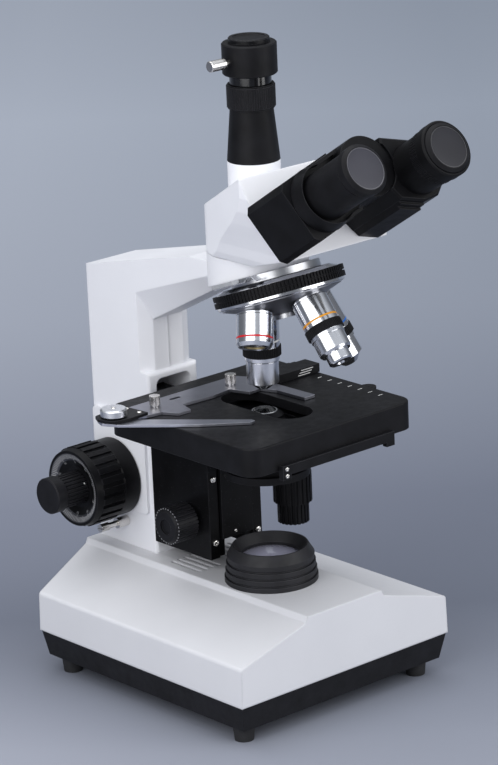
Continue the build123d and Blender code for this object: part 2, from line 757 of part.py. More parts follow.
def make_lamp_holder():
    low = PAN_Z + PAN_FLOOR
    holder = block(-LAMP_PLATE_W / 2, LAMP_PLATE_W / 2, -LAMP_PLATE_L / 2, LAMP_PLATE_L / 2,
                   low, low + LAMP_PLATE_T)
    holder += rod_z(0, 0, low, lamp_seat_z(), LAMP_POST_R)
    return holder - rod_z(0, 0, lamp_seat_z() - BULB_BASE_H, lamp_seat_z() + 1, BULB_BASE_R + SEAT)


def make_lamp_bulb():
    seat = lamp_seat_z()
    bulb = rod_z(0, 0, seat - BULB_BASE_H, seat, BULB_BASE_R) + rod_z(0, 0, seat, seat + BULB_H, BULB_R)
    return bulb + Pos(0, 0, seat + BULB_H) * Sphere(BULB_R)


def make_field_lens_mount():
    wall_h = FIELD_H - FIELD_CONE_H
    pitch = wall_h / FIELD_RIBS
    outer = []
    for rib in range(FIELD_RIBS):
        low = rib * pitch
        high = low + pitch - FIELD_GROOVE_H
        radius = FIELD_R + (FIELD_TOP_R - FIELD_R) * rib / (FIELD_RIBS - 1)
        outer += [(radius, low), (radius, high)]
        if rib < FIELD_RIBS - 1:
            outer += [(radius - FIELD_GROOVE, high), (radius - FIELD_GROOVE, low + pitch)]
    ledge = FIELD_LEDGE + FIELD_GLASS_H
    seat_r = FIELD_GLASS_R + SEAT
    bore_r = FIELD_GLASS_R - FIELD_LEDGE_W
    inner = [(FIELD_RIM_R, FIELD_H), (FIELD_RIM_R - 1, FIELD_H), (seat_r, ledge + FIELD_DOME / 2),
             (seat_r, FIELD_LEDGE), (bore_r, FIELD_LEDGE), (bore_r, -FIELD_SPIGOT_H),
             (FIELD_SPIGOT_R, -FIELD_SPIGOT_H), (FIELD_SPIGOT_R, 0)]
    return Pos(0, 0, DECK_Z) * turned(outer + inner)


def dome(radius, rise, thickness):
    """Plano-convex lens standing on Z 0."""
    ball = (radius * radius + rise * rise) / (2 * rise)
    cap = Pos(0, 0, thickness + rise - ball) * Sphere(ball)
    return cap & Cylinder(radius, thickness + rise + 1, align=LOW)


def make_field_lens():
    return Pos(0, 0, DECK_Z + FIELD_LEDGE) * dome(FIELD_GLASS_R, FIELD_DOME, FIELD_GLASS_H)


# Arm
def turret_plane():
    tilt = radians(TURRET_TILT)
    return Plane(origin=(0, TURRET_Y, TURRET_Z), x_dir=(1, 0, 0), z_dir=(0, sin(tilt), cos(tilt)))


def tilt_centre_up():
    """From the turret centre up its axis to where the optical axis crosses."""
    return -TURRET_Y / sin(radians(TURRET_TILT))


def tilt_centre_z():
    return TURRET_Z + tilt_centre_up() * cos(radians(TURRET_TILT))


def boss_plane_up():
    """Height of the boss underside above the turret centre, along the turret axis."""
    tilt = radians(TURRET_TILT)
    return (BOSS_LOW_Z - TURRET_Z) * cos(tilt) - TURRET_Y * sin(tilt)


def turret_down(radius, low, high):
    """Cylinder about the turret axis between two heights."""
    return turret_plane().location * rod_z(0, 0, low, high, radius)


def make_arm():
    full = [(ARM_FRONT, DECK_Z), (ARM_BACK, DECK_Z), (ARM_BACK, ARM_BACK_TOP_Z), (ARM_TOP_Y, ARM_TOP_Z),
            (0, ARM_NOSE_Z), (0, BEAM_LOW_NOSE_Z), (ARM_FRONT, BEAM_LOW_BACK_Z)]
    bevel = ARM_FRONT + COLUMN_BEVEL
    narrow = [(bevel, DECK_Z), (ARM_BACK, DECK_Z), (ARM_BACK, ARM_BACK_TOP_Z), (ARM_TOP_Y, ARM_TOP_Z),
              (0, ARM_NOSE_Z), (0, BEAM_BEVEL_NOSE_Z), (bevel, BEAM_BEVEL_BACK_Z)]
    arm = prism_x(full, -ARM_CORE_HALF_W, ARM_CORE_HALF_W)
    for side in (-1, 1):
        inner = Plane.YZ.offset(side * ARM_CORE_HALF_W) * Polygon(*full, align=None)
        outer = Plane.YZ.offset(side * ARM_HALF_W) * Polygon(*narrow, align=None)
        arm += loft([inner.face(), outer.face()], ruled=True)
    rear = arm.edges().filter_by(
        lambda edge: edge.center().Y > ARM_BACK - SEAT and edge.center().Z > DECK_Z + ARM_EDGE)
    arm = fillet(rear, ARM_EDGE)
    frame = block(-ARM_HALF_W, ARM_HALF_W, ARM_FRONT - FRAME_PROUD, ARM_BACK - 2 * ARM_EDGE, DECK_Z, FRAME_Z)
    front = frame.faces().sort_by(Axis.Y)[0].edges()
    frame = fillet(front.filter_by(Axis.Z) + front.sort_by(Axis.Z)[-1:], FRAME_ROUND / 2)
    arm += frame
    rib = COLUMN_RIB_W / 2
    root = ARM_FRONT + COLUMN_RIB
    arm += prism_z([(-rib, root), (0, ARM_FRONT - COLUMN_RIB), (rib, root)],
                   FRAME_Z - COLUMN_RIB, BEAM_LOW_BACK_Z + COLUMN_RIB)
    pad_x = ARM_HALF_W + PAD_PROUD
    pad = block(-pad_x, pad_x, PAD_FRONT, ARM_BACK - ARM_EDGE, PAD_LOW_Z, PAD_TOP_Z)
    arm += fillet(pad.edges().filter_by(Axis.X), PAD_ROUND)
    boss = rod_z(0, 0, TURRET_Z - BOSS_R, HEAD_SEAM_Z - CLEAR, BOSS_R)
    arm += boss - turret_down(3 * BOSS_R, -3 * BOSS_R, boss_plane_up())
    arm -= turret_down(RING_R + 2, -2 * RING_R, boss_plane_up())
    window = block(-WINDOW_HALF_W, WINDOW_HALF_W, ARM_FRONT - 2 * FRAME_PROUD, WINDOW_BACK,
                   WINDOW_LOW_Z, WINDOW_TOP_Z)
    arm -= fillet(window.edges().filter_by(Axis.Y), WINDOW_ROUND)
    arm -= rod_x(-2 * ARM_HALF_W, 2 * ARM_HALF_W, FOCUS_Y, FOCUS_Z, COARSE_SHAFT_R + RUN)
    arm -= rod_x(-ARM_HALF_W - 1, -WINDOW_HALF_W + 1, LIMIT_Y, LIMIT_Z, LIMIT_SHANK_R + RUN)
    arm -= rod_z(0, 0, HEAD_SEAM_Z - HEAD_SPIGOT_H - CLEAR, HEAD_SEAM_Z + 1, HEAD_SPIGOT_R + RUN)
    arm -= rod_z(0, 0, TURRET_Z - BOSS_R, HEAD_SEAM_Z, HEAD_BORE_R)
    arm -= rod_x(0, BOSS_R + 1, 0, HEAD_SEAM_Z - LOCK_DROP, LOCK_SHANK_R + RUN)
    return arm


def make_head_lock_screw():
    screw = rod_x(HEAD_SPIGOT_R + 2 * RUN, BOSS_R + 1, 0, 0, LOCK_SHANK_R)
    screw += along_x(ribbed(LOCK_R, KNURL, THUMB_KNURLS, LOCK_HEAD_L), BOSS_R + CLEAR, 0, 0, 1)
    return Pos(0, 0, HEAD_SEAM_Z - LOCK_DROP) * screw


# Focus drive
def make_coarse_shaft():
    reach = COARSE_FACE_X - DIAL_DEPTH - 1
    shaft = rod_x(-reach, reach, FOCUS_Y, FOCUS_Z, COARSE_SHAFT_R)
    teeth = Rot(0, 90, 0) * pinion(2 * PINION_HALF_W, -90)
    shaft += Pos(-PINION_HALF_W, FOCUS_Y, FOCUS_Z) * teeth
    return shaft - rod_x(-2 * reach, 2 * reach, FOCUS_Y, FOCUS_Z, FINE_SHAFT_R + RUN)


def coarse_back_x(side):
    collar = ARM_HALF_W + PAD_PROUD + CLEAR
    return collar + COLLAR_LENGTH + CLEAR if side < 0 else collar


def make_coarse_knob(side):
    back = coarse_back_x(side)
    collar_end = ARM_HALF_W + PAD_PROUD + 2 * CLEAR + COLLAR_LENGTH
    rim = COARSE_FACE_X - COARSE_RIM
    hub = COARSE_FACE_X - DIAL_DEPTH
    core_r = COARSE_R - COARSE_FLUTE
    rim_back, rim_front = COARSE_RIM_DROP
    grip = Pos(0, 0, collar_end) * ribbed(COARSE_R, COARSE_FLUTE, COARSE_FLUTES, rim - collar_end)
    body = turned([(0, back), (COLLAR_R, back), (COLLAR_R, collar_end), (core_r, collar_end), (core_r, rim),
                   (COARSE_R - rim_back, rim), (COARSE_R - rim_front, COARSE_FACE_X), (DIAL_R, COARSE_FACE_X),
                   (DIAL_HUB_R, hub), (0, hub)])
    knob = grip + body - rod_z(0, 0, 0, COARSE_FACE_X + 1, COARSE_SHAFT_R + SEAT)
    return along_x(knob, 0, FOCUS_Y, FOCUS_Z, side)


def make_tension_ring():
    back = ARM_HALF_W + PAD_PROUD + CLEAR
    ring = rod_z(0, 0, back, back + COLLAR_LENGTH, COLLAR_R)
    ring = chamfer(ring.edges().filter_by(GeomType.CIRCLE), COLLAR_EDGE)
    ring -= rod_z(0, 0, 0, 2 * back + COLLAR_LENGTH, COARSE_SHAFT_R + RUN)
    return along_x(ring, 0, FOCUS_Y, FOCUS_Z, -1)


def make_fine_shaft():
    reach = FINE_FACE_X - FINE_CAP_L
    return rod_x(-reach, reach, FOCUS_Y, FOCUS_Z, FINE_SHAFT_R)


def make_fine_knob(side):
    start = COARSE_FACE_X - DIAL_DEPTH + CLEAR
    cap = FINE_FACE_X - FINE_CAP_L
    knob = Pos(0, 0, start) * ribbed(FINE_RIB_R, FINE_RIB, FINE_RIB_COUNT, cap - start)
    smooth = rod_z(0, 0, cap, FINE_FACE_X, FINE_R)
    knob += chamfer(smooth.edges().filter_by(GeomType.CIRCLE), FINE_EDGE)
    knob -= rod_z(0, 0, start - 1, cap + SEAT, FINE_SHAFT_R + SEAT)
    return along_x(knob, 0, FOCUS_Y, FOCUS_Z, side)


def make_focus_slide():
    half = WINDOW_HALF_W - SLIP
    root = FOCUS_Y - PITCH_R - DEDENDUM
    slide = block(-half, half, SLIDE_FRONT, root, SLIDE_LOW_Z, SLIDE_TOP_Z)
    teeth = rack(SLIDE_LOW_Z - FOCUS_Z, SLIDE_TOP_Z - FOCUS_Z, 2 * DEDENDUM, 2 * RACK_HALF_W)
    return slide + upright_rack(RACK_HALF_W, FOCUS_Y - PITCH_R, FOCUS_Z) * teeth


def make_limit_screw():
    tip = WINDOW_HALF_W + SLIP
    collar = ARM_HALF_W + CLEAR
    half = SCREW_SLOT / 2
    screw = rod_z(0, 0, tip, LIMIT_FACE_X, LIMIT_SHANK_R)
    screw += rod_z(0, 0, collar, collar + LIMIT_COLLAR_L, LIMIT_COLLAR_R)
    screw += rod_z(0, 0, LIMIT_FACE_X - LIMIT_END_L, LIMIT_FACE_X, LIMIT_END_R)
    screw -= block(-half, half, -LIMIT_END_R, LIMIT_END_R, LIMIT_FACE_X - 2 * SCREW_SLOT, LIMIT_FACE_X + 1)
    return along_x(screw, 0, LIMIT_Y, LIMIT_Z, -1)


# Stage carrier and condenser
def make_stage_carrier():
    back = ARM_FRONT - FRAME_PROUD - CLEAR
    inner = CARRIER_HALF_W - CARRIER_WALL
    carrier = block(-CARRIER_HALF_W, CARRIER_HALF_W, CARRIER_FRONT, back, CARRIER_LOW_Z, CARRIER_TOP_Z)
    for x0, x1 in ((-CARRIER_HALF_W, STRIP_W - CARRIER_HALF_W), (CARRIER_HALF_W - STRIP_W, CARRIER_HALF_W)):
        carrier += block(x0, x1, CARRIER_FRONT - STRIP_T, CARRIER_FRONT + 1, CARRIER_LOW_Z, CARRIER_TOP_Z)
    carrier -= block(-inner, inner, CARRIER_FRONT + CARRIER_WALL / 2, back - CARRIER_WALL,
                     CARRIER_LOW_Z - 1, CARRIER_TOP_Z - CARRIER_WALL)
    slot = CARRIER_SLOT_HALF_W
    carrier -= block(-slot, slot, CARRIER_FRONT - 1, CARRIER_FRONT + CARRIER_WALL,
                     CARRIER_LOW_Z - 1, CARRIER_TOP_Z - CARRIER_WALL)
    carrier += block(-NECK_HALF_W, NECK_HALF_W, back - 1, SLIDE_FRONT - SLIP, NECK_LOW_Z, NECK_TOP_Z)
    carrier -= rod_x(-2 * CARRIER_HALF_W, 2 * CARRIER_HALF_W, COND_KNOB_Y, COND_KNOB_Z, COND_SHAFT_R + RUN)
    for x, z in panel_screw_spots():
        carrier -= rod_y(x, CARRIER_FRONT - STRIP_T - 1, panel_screw_tip(), z, PANEL_SCREW_SHANK_R + SEAT)
    return carrier


def panel_screw_spots():
    return [(side * (CARRIER_HALF_W - STRIP_W / 2), z) for side in (-1, 1) for z in PANEL_SCREW_Z]


def panel_screw_tip():
    return CARRIER_FRONT - STRIP_T + PANEL_SCREW_SHANK


def make_carrier_screws():
    face = CARRIER_FRONT - STRIP_T
    screws = []
    for x, z in panel_screw_spots():
        screw = rod_y(x, face - PANEL_SCREW_H, face, z, PANEL_SCREW_R)
        screws.append(screw + rod_y(x, face - 0.1, panel_screw_tip() - SEAT, z, PANEL_SCREW_SHANK_R))
    return Compound(screws)


def make_condenser_knob():
    face = COND_KNOB_FACE_X
    back = face - COND_KNOB_L
    edge = face - COND_KNOB_EDGE
    dish = face - COND_KNOB_DISH
    core_r = COND_KNOB_R - COND_KNOB_FLUTE
    knob = Pos(0, 0, back) * ribbed(COND_KNOB_R, COND_KNOB_FLUTE, COND_KNOB_FLUTES, edge - back)
    knob += turned([(0, back), (core_r, back), (core_r, edge), (core_r - COND_KNOB_EDGE, face),
                    (COND_KNOB_DISH_R, face), (COND_KNOB_DISH_R, dish), (0, dish)])
    knob += rod_z(0, 0, -CARRIER_HALF_W, back + 1, COND_SHAFT_R)
    knob += rod_z(0, 0, CARRIER_HALF_W + CLEAR, back + 1, COND_SHAFT_R + COND_COLLAR)
    knob = along_x(knob, 0, COND_KNOB_Y, COND_KNOB_Z, -1)
    teeth = Rot(0, 90, 0) * pinion(2 * COND_PINION_HALF_W, -90)
    return knob + Pos(-COND_PINION_HALF_W, COND_KNOB_Y, COND_KNOB_Z) * teeth


def make_condenser_slide():
    back = CARRIER_FRONT - CLEAR
    front = back - COND_PLATE_T
    slide = block(-COND_PLATE_HALF_W, COND_PLATE_HALF_W, front, back, COND_PLATE_LOW_Z, COND_RING_TOP_Z)
    pitch_y = COND_KNOB_Y - PITCH_R
    teeth = rack(COND_RACK_LOW_Z - COND_KNOB_Z, COND_RACK_TOP_Z - COND_KNOB_Z, pitch_y - back + 1,
                 2 * COND_RACK_HALF_W)
    slide += upright_rack(COND_RACK_HALF_W, pitch_y, COND_KNOB_Z) * teeth
    slide += block(-COND_PLATE_HALF_W, COND_PLATE_HALF_W, COND_BODY_R / 2, back,
                   COND_RING_LOW_Z, COND_RING_TOP_Z)
    slide += rod_z(0, 0, COND_RING_LOW_Z, COND_RING_TOP_Z, COND_RING_R)
    return slide - rod_z(0, 0, COND_RING_LOW_Z - 1, COND_RING_TOP_Z + 1, COND_BODY_R + SEAT)


def flange_low_z():
    return COND_RING_LOW_Z - COND_FLANGE_H


def make_condenser_body():
    low = flange_low_z()
    foot = low - SLIP - IRIS_T - SLIP
    return turned([
        (COND_BORE_R, foot), (IRIS_SPIGOT_R, foot), (IRIS_SPIGOT_R, low), (COND_FLANGE_R, low),
        (COND_FLANGE_R, COND_RING_LOW_Z), (COND_BODY_R, COND_RING_LOW_Z), (COND_BODY_R, COND_NECK_Z - 5),
        (COND_NECK_R, COND_NECK_Z), (COND_NECK_R, COND_NECK_Z + 2), (COND_TIP_R, COND_TIP_Z),
        (COND_LENS_R + SEAT, COND_TIP_Z), (COND_LENS_R + SEAT, COND_NECK_Z), (COND_BORE_R, COND_NECK_Z)])


def make_condenser_lens():
    thickness = COND_LENS_Z - COND_LENS_RISE - COND_NECK_Z
    return Pos(0, 0, COND_NECK_Z) * dome(COND_LENS_R, COND_LENS_RISE, thickness)


def make_iris_lever():
    top = flange_low_z() - SLIP
    lever = rod_z(0, 0, top - IRIS_T, top, IRIS_RING_R)
    lever += block(0, IRIS_LEVER_R, -IRIS_LEVER_W / 2, IRIS_LEVER_W / 2, top - IRIS_T, top)
    lever += rod_z(IRIS_LEVER_R, 0, top - 3 * IRIS_T, top, IRIS_LEVER_W / 2)
    lever -= rod_z(0, 0, top - 2 * IRIS_T, top + 1, IRIS_SPIGOT_R + RUN)
    return Rot(0, 0, IRIS_ANGLE) * lever


# Mechanical stage
def stage_under_z():
    return STAGE_TOP_Z - STAGE_PLATE_T


def lower_top_z():
    return CARRIER_TOP_Z + LOWER_PLATE_T


def make_stage_lower_plate():
    root = DRIVE_X - PITCH_R - DEDENDUM
    plate = block(-LOWER_LEFT, root, -LOWER_FRONT, LOWER_BACK, CARRIER_TOP_Z, lower_top_z())
    for x in (-LOWER_RAIL_X, LOWER_RAIL_X):
        plate += block(x - LOWER_RAIL_W / 2, x + LOWER_RAIL_W / 2, -LOWER_FRONT, LOWER_BACK,
                       lower_top_z() - 1, stage_under_z() - SLIP)
    plate -= rod_z(0, 0, CARRIER_TOP_Z - 1, STAGE_TOP_Z, LOWER_BORE_R)
    reach = LOWER_BACK - DRIVE_Y - 1
    teeth = rack(-reach, reach, 2 * DEDENDUM, LOWER_PLATE_T)
    place = Plane(origin=(DRIVE_X - PITCH_R, DRIVE_Y, CARRIER_TOP_Z), x_dir=(0, -1, 0), z_dir=(0, 0, 1))
    plate += place.location * teeth
    tab_top = STAGE_RIM_Z - SLIP
    post_x = STAGE_HALF_W + CLEAR
    plate += block(root - LOWER_RAIL_W, post_x + TAB_POST, TAB_Y - TAB_W / 2, TAB_Y + TAB_W / 2,
                   tab_top - TAB_T, tab_top)
    post = rod_z(post_x, TAB_Y, tab_top - TAB_T, STAGE_TOP_Z - CLEAR, TAB_W / 2)
    outside = block(post_x, post_x + TAB_W, TAB_Y - TAB_W, TAB_Y + TAB_W, CARRIER_TOP_Z, STAGE_TOP_Z)
    return plate + (post & outside)


def track_top_z():
    return STAGE_TOP_Z + HOLDER_LIFT


def track_low_z():
    return track_top_z() - TRACK_T


def bracket_top_z():
    return CARRIER_TOP_Z - 1


def y_knob_low_z():
    return DRIVE_LOW_Z + X_KNOB_H + CLEAR


def make_stage_top():
    length = STAGE_FRONT + STAGE_BACK
    middle = (STAGE_BACK - STAGE_FRONT) / 2
    outline = RectangleRounded(2 * STAGE_HALF_W, length, STAGE_ROUND)
    stage = extrude(Pos(0, middle, STAGE_RIM_Z) * outline, amount=STAGE_TOP_Z - STAGE_RIM_Z)
    stage = fillet(stage.faces().sort_by(Axis.Z)[-1].edges(), STAGE_EDGE)
    hollow = RectangleRounded(2 * (STAGE_HALF_W - STAGE_RIM_T), length - 2 * STAGE_RIM_T,
                              STAGE_ROUND - STAGE_RIM_T)
    stage -= extrude(Pos(0, middle, STAGE_RIM_Z) * hollow, amount=stage_under_z() - STAGE_RIM_Z)
    opening = SlotOverall(APERTURE_FRONT + APERTURE_BACK, 2 * APERTURE_HALF_W, rotation=90)
    stage -= extrude(Pos(0, (APERTURE_BACK - APERTURE_FRONT) / 2, STAGE_RIM_Z) * opening, amount=STAGE_TOP_Z)
    groove_low = track_low_z() - SLIP
    groove_front = DRIVE_Y + PITCH_R - ADDENDUM - CLEAR
    stage -= block(-2 * STAGE_HALF_W, 2 * STAGE_HALF_W, groove_front, TRACK_BACK + SLIP,
                   groove_low, STAGE_TOP_Z + 1)
    stage -= rod_z(DRIVE_X, DRIVE_Y, groove_low, STAGE_TOP_Z + 1, PITCH_R + ADDENDUM + CLEAR)
    stage -= block(-LOWER_LEFT - 3 * CLEAR, DRIVE_X, STAGE_BACK - 2 * STAGE_RIM_T, STAGE_BACK + 1,
                   STAGE_RIM_Z - 1, stage_under_z())
    y0 = DRIVE_Y - BRACKET_HALF_L
    y1 = DRIVE_Y + BRACKET_HALF_L
    wall = STAGE_HALF_W - STAGE_RIM_T
    stage += block(DRIVE_X - SLEEVE_R, STAGE_HALF_W, y0, y1, bracket_top_z() - BRACKET_T, bracket_top_z())
    stage += block(wall, STAGE_HALF_W, y0, y1, bracket_top_z() - BRACKET_T, STAGE_RIM_Z + 1)
    stage += rod_z(DRIVE_X, DRIVE_Y, y_knob_low_z() + Y_KNOB_H + CLEAR, bracket_top_z(), SLEEVE_R)
    stage -= rod_z(DRIVE_X, DRIVE_Y, DRIVE_LOW_Z, bracket_top_z() + 1, Y_SHAFT_R + RUN)
    return stage - rod_z(DRIVE_X, DRIVE_Y, STAGE_RIM_Z, STAGE_TOP_Z, X_SHAFT_R + RUN)


def make_front_rail():
    face = -STAGE_FRONT
    low = RAIL_LOW_Z
    rail = block(-RAIL_HALF_L, RAIL_HALF_L, face - RAIL_T, face, low, low + RAIL_H)
    for x in (-RAIL_HALF_L, RAIL_HALF_L - RAIL_LUG):
        rail += block(x, x + RAIL_LUG, face - RAIL_T, face, low - RAIL_LUG_DROP, low + RAIL_H)
    return rail


def make_y_knob():
    low = y_knob_low_z()
    knob = Pos(0, 0, low) * ribbed(Y_KNOB_R, KNOB_FLUTE, KNOB_FLUTES, Y_KNOB_H)
    knob += rod_z(0, 0, low, lower_top_z(), Y_SHAFT_R)
    knob += Pos(0, 0, CARRIER_TOP_Z + SLIP) * pinion(LOWER_PLATE_T - SLIP, 180)
    return Pos(DRIVE_X, DRIVE_Y, 0) * (knob - rod_z(0, 0, low - 1, STAGE_TOP_Z, X_SHAFT_R + RUN))


def make_x_knob():
    knob = Pos(0, 0, DRIVE_LOW_Z) * ribbed(X_KNOB_R, KNOB_FLUTE, KNOB_FLUTES, X_KNOB_H)
    top = track_top_z() - SLIP
    knob += rod_z(0, 0, DRIVE_LOW_Z, top, X_SHAFT_R)
    knob += Pos(0, 0, track_low_z()) * pinion(top - track_low_z(), 90)
    return Pos(DRIVE_X, DRIVE_Y, 0) * knob


# Slide holder
def thumb_holes(low, high):
    return [rod_z(x, y, low, high, THUMB_SHANK_R + SEAT) for x, y in THUMB_SPOTS]


def make_x_carriage():
    root = DRIVE_Y + PITCH_R + DEDENDUM
    low = track_low_z()
    top = track_top_z()
    carriage = block(-TRACK_LEFT, STAGE_HALF_W, root, TRACK_BACK, low, top)
    teeth = rack(DRIVE_X - X_RACK_RIGHT, DRIVE_X + X_RACK_LEFT, 2 * DEDENDUM, top - low)
    place = Plane(origin=(DRIVE_X, DRIVE_Y + PITCH_R, low), x_dir=(-1, 0, 0), z_dir=(0, 0, 1))
    carriage += place.location * teeth
    block_back = DRIVE_Y + PITCH_R
    carriage += block(CARRIAGE_LEFT, STAGE_HALF_W, CARRIAGE_FRONT, block_back, top, top + CARRIAGE_H)
    carriage += block(CARRIAGE_LEFT, STAGE_HALF_W, block_back - 1, CARRIAGE_FLANGE_BACK,
                      top, top + CARRIAGE_FLANGE_H)
    for hole in thumb_holes(low - 1, top + 1):
        carriage -= hole
    return carriage


def make_slide_holder():
    low = track_top_z()
    holder = prism_z(HOLDER_OUTLINE, low, low + HOLDER_T)
    slot = Pos(*HOLDER_SLOT, low) * SlotOverall(HOLDER_SLOT_L, HOLDER_SLOT_W)
    holder -= extrude(slot, amount=HOLDER_T)
    for hole in thumb_holes(low - 1, low + HOLDER_T + 1):
        holder -= hole
    return holder


def make_holder_screws():
    face = track_top_z() + HOLDER_T
    head = Pos(0, 0, face + 1) * ribbed(THUMB_R, KNURL, THUMB_KNURLS, THUMB_H - 1)
    screw = head + rod_z(0, 0, face, face + 2, THUMB_R - 1)
    screw += rod_z(0, 0, track_low_z(), face + 1, THUMB_SHANK_R)
    return Compound([Pos(x, y, 0) * screw for x, y in THUMB_SPOTS])


def make_finger_mount():
    low = track_top_z() + HOLDER_T
    mount = prism_z(MOUNT_OUTLINE, low, low + MOUNT_T)
    return mount - rod_z(PIVOT_X, PIVOT_Y, low - 1, low + MOUNT_T + 1, PIVOT_PIN_R + RUN)


def make_slide_finger():
    low = track_top_z()
    finger = prism_z(FINGER_OUTLINE, low, low + FINGER_T)
    return finger - rod_z(PIVOT_X, PIVOT_Y, low - 1, low + FINGER_T + 1, PIVOT_PIN_R + SEAT)


def make_finger_knob():
    low = track_top_z() + HOLDER_T + MOUNT_T + CLEAR
    knob = rod_z(PIVOT_X, PIVOT_Y, low, low + PIVOT_H, PIVOT_R)
    knob = chamfer(knob.edges().filter_by(GeomType.CIRCLE), PIVOT_EDGE)
    return knob + rod_z(PIVOT_X, PIVOT_Y, track_top_z(), low + 1, PIVOT_PIN_R)


# Nosepiece
def seat_cone_z(radius):
    """Height of the seat cone below the turret centre, at a radius about the turret axis."""
    tilt = radians(TURRET_TILT)
    return tilt_centre_up() - SEAT_D * cos(tilt) + (radius - SEAT_D * sin(tilt)) * tan(tilt)


def turret_top():
    return RING_H / 2 + TURRET_BEVEL_H


def seat_place(turn):
    """Frame of an objective seat, its axis down the objective, at a turn about the turret axis."""
    tilt = radians(TURRET_TILT)
    angle = radians(turn)
    sideways = sin(tilt) * sin(angle)
    forward = -sin(tilt) * cos(tilt) * (1 - cos(angle))
    down = -cos(tilt) ** 2 - sin(tilt) ** 2 * cos(angle)
    centre = Vector(0, 0, tilt_centre_z())
    aim = Vector(sideways, forward, down)
    return Plane(origin=centre + aim * SEAT_D, z_dir=aim).location


SEAT_TURNS = {"100x": 0, "4x": -90, "10x": 180, "40x": 90}


def make_nosepiece_plate():
    low = turret_top() + NOSE_PLATE_GAP
    plate = rod_z(0, 0, low, boss_plane_up(), NOSE_PLATE_R)
    ear = block(*NOSE_EAR, -NOSE_EAR_REACH, 0, (low + boss_plane_up()) / 2, boss_plane_up())
    plate += Rot(0, 0, SPRING_TURN) * ear
    foot = seat_cone_z(TURRET_CONE_R) - CLEAR
    plate += rod_z(0, 0, foot - STUD_HEAD_H, boss_plane_up(), STUD_R)
    plate += rod_z(0, 0, foot - STUD_HEAD_H, foot, STUD_HEAD_R)
    plate = turret_plane().location * plate
    return plate - rod_z(0, 0, TURRET_Z - BOSS_R, HEAD_SEAM_Z, LIGHT_R)


def make_click_spring():
    low = turret_top() + NOSE_PLATE_GAP
    high = (low + boss_plane_up()) / 2
    left, right = NOSE_EAR
    kink = SPRING_KINK_X
    top = high + SPRING_KINK_H
    upper = [(left, high), (right + 3, high), (kink - 5, high + 0.2), (kink - 2, top), (kink + 1, top),
             (kink + 4, high - SPRING_T), (kink + 8, high - SPRING_T)]
    outline = upper + [(x, z - SPRING_T) for x, z in reversed(upper)]
    strip = prism_y(outline, -NOSE_EAR_REACH, -NOSE_PLATE_R - CLEAR)
    return turret_plane().location * Rot(0, 0, SPRING_TURN) * strip


def make_turret():
    rim_low = -RING_H / 2 - TURRET_RIM_H
    inner_r = TURRET_RIM_R - TURRET_RIM_W
    bore = STUD_R + RUN
    body = turned([
        (bore, turret_top()), (TURRET_TOP_R, turret_top()), (RING_SEAT_R, RING_H / 2),
        (RING_SEAT_R, -RING_H / 2), (TURRET_RIM_R, -RING_H / 2),
        (TURRET_RIM_R, rim_low + TURRET_RIM_EDGE / 2), (TURRET_RIM_R - TURRET_RIM_EDGE, rim_low),
        (inner_r, rim_low), (inner_r, seat_cone_z(inner_r)),
        (TURRET_CONE_R, seat_cone_z(TURRET_CONE_R)), (bore, seat_cone_z(TURRET_CONE_R))])
    turret = turret_plane().location * body
    for turn in SEAT_TURNS.values():
        turret -= seat_place(turn) * rod_z(0, 0, -THREAD_L - SLIP, 2, THREAD_R + SEAT)
        turret -= seat_place(turn) * rod_z(0, 0, -3 * THREAD_L, 2, LIGHT_R)
    return turret


def make_turret_ring():
    row = RING_H / 2 - CLEAR
    ring = Pos(0, 0, -RING_H / 2) * ribbed(RING_R, RING_KNURL, RING_KNURLS, row)
    ring += Pos(0, 0, CLEAR) * ribbed(RING_R, RING_KNURL, RING_KNURLS, row)
    ring += rod_z(0, 0, -RING_H / 2, RING_H / 2, RING_R - RING_KNURL - SLIP)
    ring -= rod_z(0, 0, -RING_H, RING_H, RING_SEAT_R + SEAT)
    return turret_plane().location * ring


def objective(turn, length, steps, grip, mouth_r):
    """Objective below its shoulder, with a stepped barrel and a knurled grip band."""
    outline = [(0, -THREAD_L), (THREAD_R, -THREAD_L), (THREAD_R, 0)]
    height = 0
    for start_drop, end_drop, from_tip in steps:
        outline += [(BARREL_R - start_drop, height), (BARREL_R - end_drop, length - from_tip)]
        height = length - from_tip
    outline += [(mouth_r, length), (mouth_r - MOUTH_STEP, length - MOUTH_DEPTH), (0, length - MOUTH_DEPTH)]
    barrel = turned(outline)
    if grip:
        start, end = grip
        band = ribbed(BARREL_R + GRIP_PROUD, GRIP_KNURL, GRIP_KNURLS, start - end)
        barrel += Pos(0, 0, length - start) * band
    barrel -= rod_z(0, 0, -2 * THREAD_L, length - LIGHT_END, LIGHT_R / 2)
    return seat_place(turn) * barrel


def make_objective_4x():
    return objective(SEAT_TURNS["4x"], OBJECTIVE_4X_L, STEPS_4X, None, MOUTH_4X_R)


def make_objective_10x():
    return objective(SEAT_TURNS["10x"], OBJECTIVE_10X_L, STEPS_10X, GRIP_10X, MOUTH_10X_R)


def make_objective_40x():
    return objective(SEAT_TURNS["40x"], OBJECTIVE_40X_L, STEPS_40X, GRIP_40X, MOUTH_40X_R)


def make_objective_100x():
    length = tilt_centre_z() - SEAT_D - WORK_TIP_Z
    return objective(SEAT_TURNS["100x"], length, STEPS_100X, GRIP_100X, MOUTH_100X_R)


# Head
def eye_plane():
    """Eye lens plane, its axis out along the eyepieces and its second axis upward."""
    tilt = radians(EYE_TILT)
    return Plane(origin=(0, EYE_Y, EYE_Z), x_dir=(1, 0, 0), z_dir=(0, -cos(tilt), sin(tilt)))


def hinge_up():
    return EYE_SPREAD_R * sin(radians(EYE_SWING))


def swing_place(side):
    """Frame on the swing axis, turned so that its X axis runs level through one eyepiece."""
    return eye_plane().location * Pos(0, hinge_up(), 0) * Rot(0, 0, -side * EYE_SWING)


